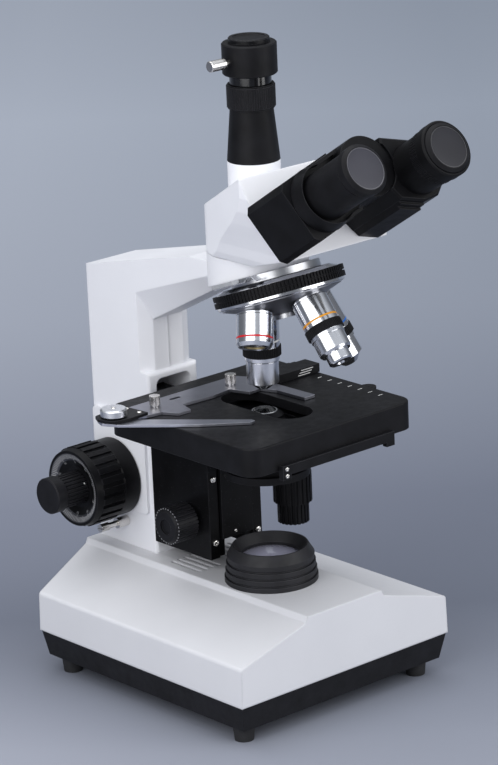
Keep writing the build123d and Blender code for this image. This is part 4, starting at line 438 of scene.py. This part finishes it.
GRIP_BLACK = black_finish("grip_black", 0.005, 0.5, (0.4, 0.03), 0.2, 0.2)
NECK_BLACK = black_finish("neck_black", 0.006, 0.12, (0.5, 0.004), 0.3, gloss=0.6)
CAP_BLACK = black_finish("cap_black", 0.005, 0.34, (0.5, 0.06), 0.3, 0.9, 0.7, 0.14)
RING_BLACK = black_finish("ring_black", 0.006, 0.5, (0.4, 0.03), 0.2, 0.4, 0.4)
LENS_MOUNT_BLACK = black_finish("lens_mount_black", 0.014, 0.5, (0.4, 0.03), 0.6, 0.6, gloss=0.3)
SLIDE_GREY = black_finish("slide_grey", 0.030, 0.4, (0.4, 0.01), 0.3, 0.3)
FOOT_RUBBER = rubber()
CHROME = metal("chrome", (0.78, 0.79, 0.82), 0.13)
NICKEL = metal("nickel", (0.76, 0.74, 0.71), 0.22)
STEEL = metal("steel", (0.52, 0.53, 0.55), 0.3)
BRUSHED = metal("brushed_aluminium", (0.30, 0.305, 0.35), 0.32, brush=(0.06, 1.0, 1.0))
FINGER_STEEL = metal("finger_steel", (0.45, 0.46, 0.52), 0.30, brush=(1.0, 0.06, 1.0))
SPUN = metal("spun_aluminium", (0.76, 0.77, 0.79), 0.26, lines=(FINGER_PIVOT, (0.0, 0.0, 1.0), 0.35))
GUNMETAL = metal("gunmetal", (0.24, 0.245, 0.27), 0.34)
DIAL_GREY = metal("dial_grey", (0.13, 0.13, 0.14), 0.4, lines=((0.0, FOCUS_Y, FOCUS_Z), (1.0, 0.0, 0.0), 0.4))
BRASS = metal("brass", (0.42, 0.33, 0.16), 0.28)
GLASS = clear_glass("clear_glass", (0.93, 0.95, 0.97), 0.0)
# Field lens base tone brightened as a painted reflection.
FIELD_GLASS_PAINTED_REFLECTION = coated_glass("field_glass_painted_reflection", (0.28, 0.28, 0.36), 0.16, 1.0, 0.06)
# The right eye lens is a darker copy of the left one: painted shade.
LEFT_EYE_GLASS = coated_glass("left_eye_glass", (0.025, 0.025, 0.034), 0.34, 0.1, 0.26)
RIGHT_EYE_GLASS_SHADED = coated_glass("right_eye_glass_shaded", (0.010, 0.010, 0.014), 0.36, 0.06, 0.28)
FRONT_GLASS = coated_glass("front_glass", (0.020, 0.018, 0.024), 0.12, 0.8, 0.05)
MARK_WHITE = paint("mark_white", (0.72, 0.72, 0.71))
MARK_TICK = paint("mark_tick", (0.44, 0.44, 0.45))
MARK_DIM = paint("mark_dim", (0.26, 0.26, 0.27))
# The right lens rim is a darker copy of the left one: painted shade.
LEFT_RIM_GREY = paint("left_rim_grey", (0.10, 0.10, 0.115))
RIGHT_RIM_GREY_SHADED = paint("right_rim_grey_shaded", (0.045, 0.045, 0.05))
RING_RED = paint("ring_red", (0.58, 0.008, 0.014), 0.3)
RING_YELLOW = paint("ring_yellow", (0.76, 0.32, 0.012), 0.3)
RING_BLUE = paint("ring_blue", (0.02, 0.14, 0.52), 0.3)

NODE_LOOKS = {
    "base_cover": BASE_WHITE_SHADED, "arm": ARM_WHITE_LIT, "head_block": HEAD_WHITE_LIT,
    "base_pan": PAN_BLACK, "rubber_feet": FOOT_RUBBER, "case_screws": STEEL,
    "power_inlet": PAN_BLACK, "switch_rocker": KNOB_BLACK, "brightness_knob": KNOB_BLACK,
    "circuit_board": board_green(), "lamp_holder": ceramic(), "lamp_bulb": GLASS,
    "field_lens_mount": LENS_MOUNT_BLACK, "field_lens": FIELD_GLASS_PAINTED_REFLECTION,
    "nosepiece_plate": STEEL, "click_spring": CHROME,
    "limit_screw": NICKEL, "tension_ring": KNOB_BLACK, "head_lock_screw": NICKEL,
    "coarse_shaft": STEEL, "coarse_knob_left": KNOB_BLACK, "coarse_knob_right": KNOB_BLACK,
    "fine_shaft": STEEL, "fine_knob_left": DIAL_KNOB_BLACK, "fine_knob_right": DIAL_KNOB_BLACK,
    "focus_slide": SLIDE_GREY, "stage_carrier": CASTING_BLACK, "carrier_screws": NICKEL,
    "stage_lower_plate": STAGE_BLACK, "condenser_slide": CASTING_BLACK,
    "condenser_body": TUBE_BLACK, "condenser_lens": GLASS, "condenser_knob": DIAL_KNOB_BLACK,
    "iris_lever": NICKEL, "stage_top": STAGE_BLACK, "front_rail": STAGE_BLACK,
    "y_knob": KNOB_BLACK, "x_knob": KNOB_BLACK, "x_carriage": STAGE_BLACK,
    "slide_holder": BRUSHED, "holder_screws": NICKEL, "finger_mount": STAGE_BLACK,
    "slide_finger": FINGER_STEEL, "finger_knob": SPUN, "turret": GUNMETAL, "turret_ring": GRIP_BLACK,
    "objective_4x": CHROME, "objective_10x": CHROME, "objective_40x": CHROME, "objective_100x": CHROME,
    "photo_cone": TUBE_BLACK, "photo_adapter": TUBE_BLACK, "photo_ring": RING_BLACK,
    "photo_cap": CAP_BLACK, "adapter_screw": NICKEL,
    "left_housing": SHELL_BLACK, "right_housing": SHELL_BLACK,
    "left_eyepiece": TUBE_BLACK, "right_eyepiece": TUBE_BLACK, "diopter_ring": GRIP_BLACK,
}


def finish_nodes():
    for name, look in NODE_LOOKS.items():
        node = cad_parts[name]
        if not node.material_slots:
            node.data.materials.append(look)
        for place in node.material_slots:
            place.material = look


# Mesh helpers, drawn in mm in a local frame and placed by a matrix
def placed(at, axis, side=None):
    """Local frame with its Z along an axis and its X near the given side."""
    up = Vector(axis).normalized()
    guide = Vector(side) if side else up.orthogonal()
    across = (guide - up * guide.dot(up)).normalized()
    turn = Matrix((across, up.cross(across), up)).transposed().to_4x4()
    return Matrix.Translation(Vector(at)) @ turn


# Frame on the optical axis
OPTICAL_PLACE = placed((0.0, 0.0, 0.0), (0.0, 0.0, 1.0))


def point(mesh, place, x, y, z):
    return mesh.verts.new((place @ Vector((x, y, z))) * MM)


def bridge(mesh, rows, spokes):
    """Faces between neighbouring rings of points, where a ring may be a single point."""
    for first, second in zip(rows, rows[1:]):
        for spoke in range(spokes):
            after = (spoke + 1) % spokes
            corners = [first[spoke % len(first)], first[after % len(first)],
                       second[after % len(second)], second[spoke % len(second)]]
            mesh.faces.new(list(dict.fromkeys(corners)))


def lathe(mesh, place, profile, spokes, closed=True, wave=None):
    """Surface of revolution from radius and height pairs, with an optional radius wave round the axis."""
    rows = []
    for radius, height in profile:
        if radius == 0:
            rows.append([point(mesh, place, 0, 0, height)])
            continue
        row = []
        for spoke in range(spokes):
            angle = 2 * pi * spoke / spokes
            reach = radius + (wave(spoke) if wave else 0)
            row.append(point(mesh, place, reach * cos(angle), reach * sin(angle), height))
        rows.append(row)
    bridge(mesh, rows + rows[:1] if closed else rows, spokes)


def strip_mark(mesh, place, length, width, proud):
    """Raised bar with sloped sides along local X, standing on local Z 0."""
    slope = min(width, length) * 0.2
    rings = []
    for inset, height in ((0, -proud), (0, proud * 0.6), (slope, proud)):
        x = length / 2 - inset
        y = width / 2 - inset
        rings.append([point(mesh, place, *corner, height) for corner in ((-x, -y), (x, -y), (x, y), (-x, y))])
    for first, second in zip(rings, rings[1:]):
        for side in range(4):
            after = (side + 1) % 4
            mesh.faces.new((first[side], first[after], second[after], second[side]))
    mesh.faces.new(rings[-1])
    mesh.faces.new(rings[0][::-1])


def screw_dome(mesh, place, radius, rise, rings=12, spokes=40):
    """Domed screw head with a cross recess, standing on local Z 0."""
    slot = 0.16 * radius
    reach = 0.62 * radius
    sunk = -0.2
    angles = [2 * pi * spoke / spokes for spoke in range(spokes)]

    def height(x, y):
        dome = rise * sqrt(max(0.0, 1.02 - (hypot(x, y) / radius) ** 2))
        inside = min(abs(x), abs(y)) < slot and max(abs(x), abs(y)) < reach
        return 0.35 * rise if inside else dome

    rows = [[point(mesh, place, 0, 0, height(0, 0))]]
    for ring in range(1, rings + 1):
        span = radius * ring / rings
        rows.append([point(mesh, place, span * cos(a), span * sin(a), height(span * cos(a), span * sin(a)))
                     for a in angles])
    rows.append([point(mesh, place, radius * cos(a), radius * sin(a), sunk) for a in angles])
    rows.append([point(mesh, place, 0, 0, sunk)])
    bridge(mesh, rows, spokes)


def add_piece(name, body, look, draw, smooth=True):
    """Make one object from a drawing function and let it ride on a body."""
    mesh = bmesh.new()
    draw(mesh)
    bmesh.ops.recalc_face_normals(mesh, faces=mesh.faces[:])
    data = bpy.data.meshes.new(name)
    mesh.to_mesh(data)
    mesh.free()
    if smooth:
        data.shade_smooth()
        data.set_sharp_from_angle(angle=radians(35))
    data.materials.append(look)
    piece = bpy.data.objects.new(name, data)
    scene.collection.objects.link(piece)
    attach(piece, body)


def add_turned(name, body, look, place, profile, spokes=96, closed=True):
    """Make one turned piece from its profile."""
    add_piece(name, body, look, lambda mesh: lathe(mesh, place, profile, spokes, closed))


# Objective rings, grips and front lenses
def seat_place(turn):
    """Frame of an objective: shoulder at the origin, Z down the barrel."""
    angle = radians(turn)
    tilt_sin = sin(TURRET_TILT)
    tilt_cos = cos(TURRET_TILT)
    aim = Vector((tilt_sin * sin(angle), -tilt_sin * tilt_cos * (1 - cos(angle)),
                  -tilt_cos ** 2 - tilt_sin ** 2 * cos(angle)))
    return placed(Vector((0, 0, TILT_CENTRE_Z)) + aim * SEAT_D, aim)


OBJECTIVES = {
    "4x": {"turn": -90, "length": 22.6, "grip": None, "ring": 15.9, "paint": RING_RED, "mouth": 6.4},
    "10x": {"turn": 180, "length": 47.0, "grip": (20.0, 26.0), "ring": 16.0, "paint": RING_YELLOW,
            "mouth": 2.9},
    "40x": {"turn": 90, "length": 51.0, "grip": (26.0, 32.0), "ring": 22.0, "paint": RING_BLUE, "mouth": 1.9},
    "100x": {"turn": 0, "length": 52.8, "grip": (23.4, 29.8), "ring": 18.6, "paint": MARK_WHITE,
             "mouth": 1.4},
}
RING_W = 1.3
SHOULDER_LINE = (1.5, 1.85)
LINE_PROUD = 0.03
GRIP_R = BARREL_R + 0.36
GRIP_CHAMFER = 0.1
GRIP_WALL = 0.8
GRIP_TEETH = 54
GRIP_DEPTH = 0.3
LENS_SET = {"crown": 0.75, "middle": 0.85, "edge": 1.15, "back": 1.25}
CELL_W = 1.2
CELL_SUNK = 0.5
CELL_DEPTHS = (0.1, 1.1, 1.3)


def band(low, high, radius, proud=0.08, depth=0.4):
    """Closed profile of a thin band round a barrel."""
    return ((radius - depth, low), (radius, low), (radius + proud, low + proud),
            (radius + proud, high - proud), (radius, high), (radius - depth, high))


def grip_wave(spoke):
    """Two spokes up and two down make one tooth."""
    return GRIP_DEPTH if spoke % 4 < 2 else 0.0


def add_objective_details():
    for name, spec in OBJECTIVES.items():
        place = seat_place(spec["turn"])
        tip = spec["length"]
        glass_r = spec["mouth"]
        ring = band(spec["ring"], spec["ring"] + RING_W, BARREL_R)
        line = band(*SHOULDER_LINE, BARREL_R, LINE_PROUD)
        lens = ((0, tip - LENS_SET["crown"]), (glass_r * 0.5, tip - LENS_SET["middle"]),
                (glass_r, tip - LENS_SET["edge"]), (0, tip - LENS_SET["back"]))
        add_turned(f"colour_ring_{name}", "turret", spec["paint"], place, ring)
        add_turned(f"shoulder_line_{name}", "turret", GRIP_BLACK, place, line)
        add_turned(f"front_lens_{name}", "turret", FRONT_GLASS, place, lens, 40, False)
        if spec["grip"]:
            sleeve = band(*spec["grip"], GRIP_R, GRIP_CHAMFER, GRIP_WALL)
            add_piece(f"grip_{name}", "turret", GRIP_BLACK,
                      lambda mesh: lathe(mesh, place, sleeve, 4 * GRIP_TEETH, True, grip_wave),
                      smooth=False)


def add_mouth_ring():
    """Brass cell inside the wide mouth of the shortest objective."""
    spec = OBJECTIVES["4x"]
    tip = spec["length"]
    mouth_r = spec["mouth"]
    inner_r = mouth_r - CELL_W
    outer_r = mouth_r + CELL_SUNK
    lip, face, back = CELL_DEPTHS
    cell = ((outer_r, tip - lip), (mouth_r + 0.05, tip - face), (inner_r, tip - face),
            (inner_r, tip - back), (outer_r, tip - back))
    add_turned("mouth_ring_4x", "turret", BRASS, seat_place(spec["turn"]), cell, 64)


def add_turret_rims():
    """Bright bands above and below the knurled ring."""
    place = placed(TURRET_AT, TURRET_AXIS)
    outer_r = RIM_R + RIM_PROUD
    inner_r = RIM_R - RIM_WALL
    top = RIM_TOP - 0.05
    low = RIM_LOW - RIM_PROUD
    chamfer_in, chamfer_up = RIM_CHAMFER
    rim = ((RIM_R - 1.0, top), (outer_r, top), (outer_r, RIM_LOW + chamfer_up),
           (RIM_R - chamfer_in, low), (inner_r, low), (inner_r, RIM_LOW + 0.5))
    add_turned("turret_rim", "turret", CHROME, place, rim, 144)
    in_r, in_z = BEVEL_IN
    out_r, out_z = BEVEL_OUT
    bevel = ((out_r, out_z + BEVEL_LIFT), (in_r, in_z + BEVEL_LIFT),
             (in_r, in_z - BEVEL_LIFT), (out_r, out_z - BEVEL_LIFT))
    add_turned("turret_bevel", "turret", CHROME, place, bevel, 144)


# Condenser lens rim
def add_condenser_rim():
    inner_r, outer_r = COND_RIM_R
    low = COND_TIP_Z - COND_RIM_SUNK
    top = COND_TIP_Z + COND_RIM_PROUD
    rim = ((inner_r, low), (inner_r, top), (outer_r - COND_RIM_CHAMFER, top), (outer_r, low))
    add_turned("condenser_lens_rim", "condenser", STEEL, OPTICAL_PLACE, rim)


# Photo tube neck
def add_photo_neck():
    neck = band(*NECK_Z, NECK_R, NECK_PROUD, NECK_DEPTH)
    add_turned("photo_neck_band", "photo_focus", NECK_BLACK, OPTICAL_PLACE, neck)


# Eye lenses
def eye_place(side):
    axis = (0.0, -cos(EYE_TILT), sin(EYE_TILT))
    up = Vector((0.0, sin(EYE_TILT), cos(EYE_TILT)))
    return placed(Vector(EYE_AT) + Vector((side * EYE_X, 0.0, 0.0)), axis, up)


def add_eye_lenses():
    seat = -EYE_LENS_SET
    low = seat - EYE_LENS_SUNK
    glass_r = EYE_LENS_R - EYE_RIM_W
    outer_r = EYE_LENS_R - EYE_RIM_GAP
    lens = ((0, seat + 0.42), (glass_r * 0.5, seat + 0.40), (glass_r * 0.85, seat + 0.32),
            (glass_r, seat + 0.2), (glass_r, low), (0, low))
    rim = ((glass_r, low), (glass_r, seat + 0.34), (glass_r + 0.25, seat + 0.5),
           (outer_r, seat + 0.34), (outer_r, low))
    # The right eye takes the darker copies, painted shade.
    for body, side, glass, grey in (("left_eye", -1, LEFT_EYE_GLASS, LEFT_RIM_GREY),
                                    ("right_eye", 1, RIGHT_EYE_GLASS_SHADED, RIGHT_RIM_GREY_SHADED)):
        place = eye_place(side)
        add_turned(f"{body}_lens", body, glass, place, lens, closed=False)
        add_turned(f"{body}_lens_rim", body, grey, place, rim)


# Focus dial, pointer dot and condenser knob dots
def dial_x(radius):
    share = (DIAL_R - radius) / (DIAL_R - DIAL_HUB_R)
    return DIAL_FACE_X + share * (DIAL_HUB_X - DIAL_FACE_X)


def dial_place(angle, radius):
    """Frame on the dial cone: X outward along the slope, Z away from the surface."""
    outward = Vector((0.0, sin(angle), cos(angle)))
    slope = Vector((DIAL_FACE_X - DIAL_HUB_X, 0, 0)) + outward * (DIAL_R - DIAL_HUB_R)
    away = Vector((-1.0, 0.0, 0.0)) - outward * ((DIAL_HUB_X - DIAL_FACE_X) / (DIAL_R - DIAL_HUB_R))
    return placed(Vector((dial_x(radius), FOCUS_Y, FOCUS_Z)) + outward * radius, away, slope)


def add_focus_dial():
    hub_r = DIAL_HUB_R + 0.2
    cone = ((DIAL_R, DIAL_FACE_X - DIAL_LIFT), (hub_r, DIAL_HUB_X - DIAL_LIFT),
            (hub_r, DIAL_HUB_X + DIAL_LIFT), (DIAL_R, DIAL_FACE_X + DIAL_LIFT))
    axle = placed((0.0, FOCUS_Y, FOCUS_Z), (1.0, 0.0, 0.0))
    add_turned("dial_face", "coarse", DIAL_GREY, axle, cone, 144)

    def ticks(mesh):
        for index in range(DIAL_TICKS):
            step = "ten" if index % 10 == 0 else "five" if index % 5 == 0 else "one"
            length = TICK_LENGTHS[step]
            spot = dial_place(2 * pi * index / DIAL_TICKS, TICK_OUTER_R - length / 2)
            strip_mark(mesh, spot, length, TICK_W, DIAL_MARK_PROUD)

    add_piece("dial_ticks", "coarse", MARK_TICK, ticks, smooth=False)


def add_dial_numbers():
    for index in range(NUMBER_COUNT):
        value = index * DIAL_TICKS // NUMBER_COUNT
        digits = bpy.data.curves.new(f"digits_{index}", "FONT")
        digits.body = str(value)
        digits.size = NUMBER_SIZE * MM
        digits.extrude = DIAL_MARK_PROUD * MM
        digits.align_x = "CENTER"
        digits.align_y = "CENTER"
        source = bpy.data.objects.new(f"digits_{index}", digits)
        data = bpy.data.meshes.new_from_object(source)
        bpy.data.objects.remove(source)
        number = bpy.data.objects.new(f"dial_number_{value}", data)
        place = dial_place(2 * pi * index / NUMBER_COUNT, NUMBER_R)
        upright = place @ Matrix.Rotation(-pi / 2, 4, "Z")
        number.matrix_world = Matrix.Translation(upright.translation * MM) @ upright.to_3x3().to_4x4()
        scene.collection.objects.link(number)
        data.materials.append(MARK_DIM)
        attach(number, "coarse")


def add_fine_dot():
    outward = Vector((0.0, sin(FINE_DOT_ANGLE), cos(FINE_DOT_ANGLE)))
    place = placed(Vector((FINE_DOT_X, FOCUS_Y, FOCUS_Z)) + outward * FINE_RIB_R, outward)
    dot = ((0, 0.1), (0.35, 0.08), (FINE_DOT_R, 0.0), (FINE_DOT_R, -FINE_DOT_DEPTH), (0, -FINE_DOT_DEPTH))
    add_turned("fine_dot", "fine", MARK_WHITE, place, dot, 20, False)


def add_condenser_dots():
    middle = Vector((COND_KNOB_FACE_X + COND_DOT_SET, COND_KNOB_Y, COND_KNOB_Z))

    def dots(mesh):
        for index in range(COND_KNOB_FLUTES):
            angle = 2 * pi * (index + COND_DOT_SHIFT) / COND_KNOB_FLUTES
            outward = Vector((0.0, sin(angle), cos(angle)))
            spot = middle + outward * (COND_KNOB_R - COND_DOT_INSET)
            strip_mark(mesh, placed(spot, (-1.0, 0.0, 0.0), outward), *COND_DOT_SIZE, COND_DOT_PROUD)

    add_piece("condenser_knob_dots", "condenser_knob", MARK_DIM, dots, smooth=False)


# Stage scales and small screws
def add_stage_marks():
    def ticks(mesh):
        for index in range(STAGE_TICK_COUNT):
            spot = (STAGE_TICK_X, STAGE_TICK_BACK_Y - STAGE_TICK_PITCH * index, STAGE_TOP_Z)
            strip_mark(mesh, placed(spot, (0, 0, 1), (1, 0, 0)), *STAGE_TICK_SIZE, STAGE_MARK_PROUD)

    add_piece("stage_ticks", "stage", MARK_WHITE, ticks, smooth=False)

    def vernier(mesh):
        step_x, step_z = VERNIER_STEP
        for index in range(VERNIER_COUNT):
            height = CARRIAGE_LOW_Z + VERNIER_RISE + step_z * index
            spot = (VERNIER_X + index * step_x, CARRIAGE_FRONT_Y, height)
            strip_mark(mesh, placed(spot, (0, -1, 0), (1, 0, 0)), *VERNIER_SIZE, STAGE_MARK_PROUD)

    add_piece("vernier_lines", "holder", MARK_WHITE, vernier, smooth=False)


def add_screw_heads():
    """Screw heads by body, radius, rise, axis and places."""
    front = (0, -1, 0)
    up = (0, 0, 1)
    plate_x, plate_z = PLATE_SCREW_XZ
    screws = {
        "carrier_screw_heads": ("carrier", 2.2, 0.7, front,
                                [(x, CARRIER_SCREW_FACE_Y, z) for x, z in CARRIER_SCREW_XZ]),
        "mount_screw_heads": ("holder", 1.7, 0.6, up, [(x, y, MOUNT_TOP_Z) for x, y in MOUNT_SCREW_XY]),
        "rail_screw_heads": ("stage", 1.5, 0.6, front,
                             [(RAIL_SCREW_X, RAIL_FRONT_Y, z) for z in RAIL_SCREW_Z]),
        "plate_screw_head": ("condenser", 1.1, 0.5, front, [(plate_x, COND_PLATE_FRONT_Y, plate_z)]),
        "pivot_screw_head": ("finger", 1.5, 0.5, up, [(*PIVOT_SPOT, PIVOT_TOP_Z)]),
    }
    for name, (body, radius, rise, axis, spots) in screws.items():
        def heads(mesh):
            for spot in spots:
                screw_dome(mesh, placed(spot, axis), radius, rise)

        add_piece(name, body, NICKEL, heads)


# Studio
def add_floor():
    """Pale floor with painted shade and light in its colour: darker in a band behind the object, lighter far
    behind it, darker to one side.
    """
    look, tree, shader = new_look("floor")
    depth = spread(tree, distance_along(tree, VIEW_DIR), 0.0, 1.0, *FLOOR_SHADE_DEPTH_M)
    tone = ramp(tree, depth, FLOOR_PAINTED_SHADE_TONES)
    share = spread(tree, distance_along(tree, SIDE_DIR), 0.0, 1.0, *FLOOR_SHADE_SIDE_M)
    side = ramp(tree, share, FLOOR_SIDE_PAINTED_SHADE)
    blend = tree.nodes.new("ShaderNodeMix")
    blend.data_type = "RGBA"
    blend.blend_type = "MULTIPLY"
    blend.inputs["Factor"].default_value = 1.0
    tree.links.new(tone, blend.inputs["A"])
    tree.links.new(side, blend.inputs["B"])
    tree.links.new(blend.outputs["Result"], shader.inputs["Base Color"])
    shader.inputs["Roughness"].default_value = 0.8
    shader.inputs["Specular IOR Level"].default_value = 0.1
    mesh = bmesh.new()
    bmesh.ops.create_circle(mesh, cap_ends=True, segments=96, radius=FLOOR_R * MM)
    data = bpy.data.meshes.new("floor")
    mesh.to_mesh(data)
    mesh.free()
    data.materials.append(look)
    floor = bpy.data.objects.new("floor", data)
    scene.collection.objects.link(floor)


def add_softbox(name, at, width, height, level):
    """Large area light that shows in reflections and not to the camera."""
    light = bpy.data.lights.new(name, "AREA")
    light.shape = "RECTANGLE"
    light.size = width * MM
    light.size_y = height * MM
    light.energy = level * pi * width * height * MM * MM
    holder = bpy.data.objects.new(name, light)
    turn = (Vector(at) - Vector(LIGHT_AIM)).to_track_quat("Z", "Y").to_matrix().to_4x4()
    holder.matrix_world = Matrix.Translation(Vector(at) * MM) @ turn
    holder.visible_camera = False
    scene.collection.objects.link(holder)


def add_lights():
    for name, spec in SOFTBOXES.items():
        add_softbox(name, **spec)


def add_world():
    """Studio walls that are dim near the horizon and brighter overhead."""
    world = bpy.data.worlds.new("studio")
    world.use_nodes = True
    tree = world.node_tree
    split = tree.nodes.new("ShaderNodeSeparateXYZ")
    tree.links.new(tree.nodes.new("ShaderNodeTexCoord").outputs["Generated"], split.inputs["Vector"])
    tone = ramp(tree, split.outputs["Z"], WALL_TONES)
    tree.links.new(tone, tree.nodes["Background"].inputs["Color"])
    scene.world = world


def add_camera():
    data = bpy.data.cameras.new("camera")
    data.lens = CAMERA_LENS
    data.sensor_width = SENSOR
    data.clip_end = 100.0
    at = Vector(CAMERA_AT)
    forward = (Vector(CAMERA_AIM) - at).normalized()
    right = forward.cross(Vector((0, 0, 1))).normalized()
    up = right.cross(forward)
    level_right = right * cos(CAMERA_ROLL) + up * sin(CAMERA_ROLL)
    level_up = up * cos(CAMERA_ROLL) - right * sin(CAMERA_ROLL)
    turn = Matrix((level_right, level_up, -forward)).transposed().to_4x4()
    camera = bpy.data.objects.new("camera", data)
    camera.matrix_world = Matrix.Translation(at * MM) @ turn
    scene.collection.objects.link(camera)
    scene.camera = camera


finish_nodes()
add_objective_details()
add_mouth_ring()
add_turret_rims()
add_condenser_rim()
add_photo_neck()
add_eye_lenses()
add_focus_dial()
add_dial_numbers()
add_fine_dot()
add_condenser_dots()
add_stage_marks()
add_screw_heads()
add_floor()
add_lights()
add_world()
add_camera()

# Final update of the scene
bpy.context.view_layer.update()
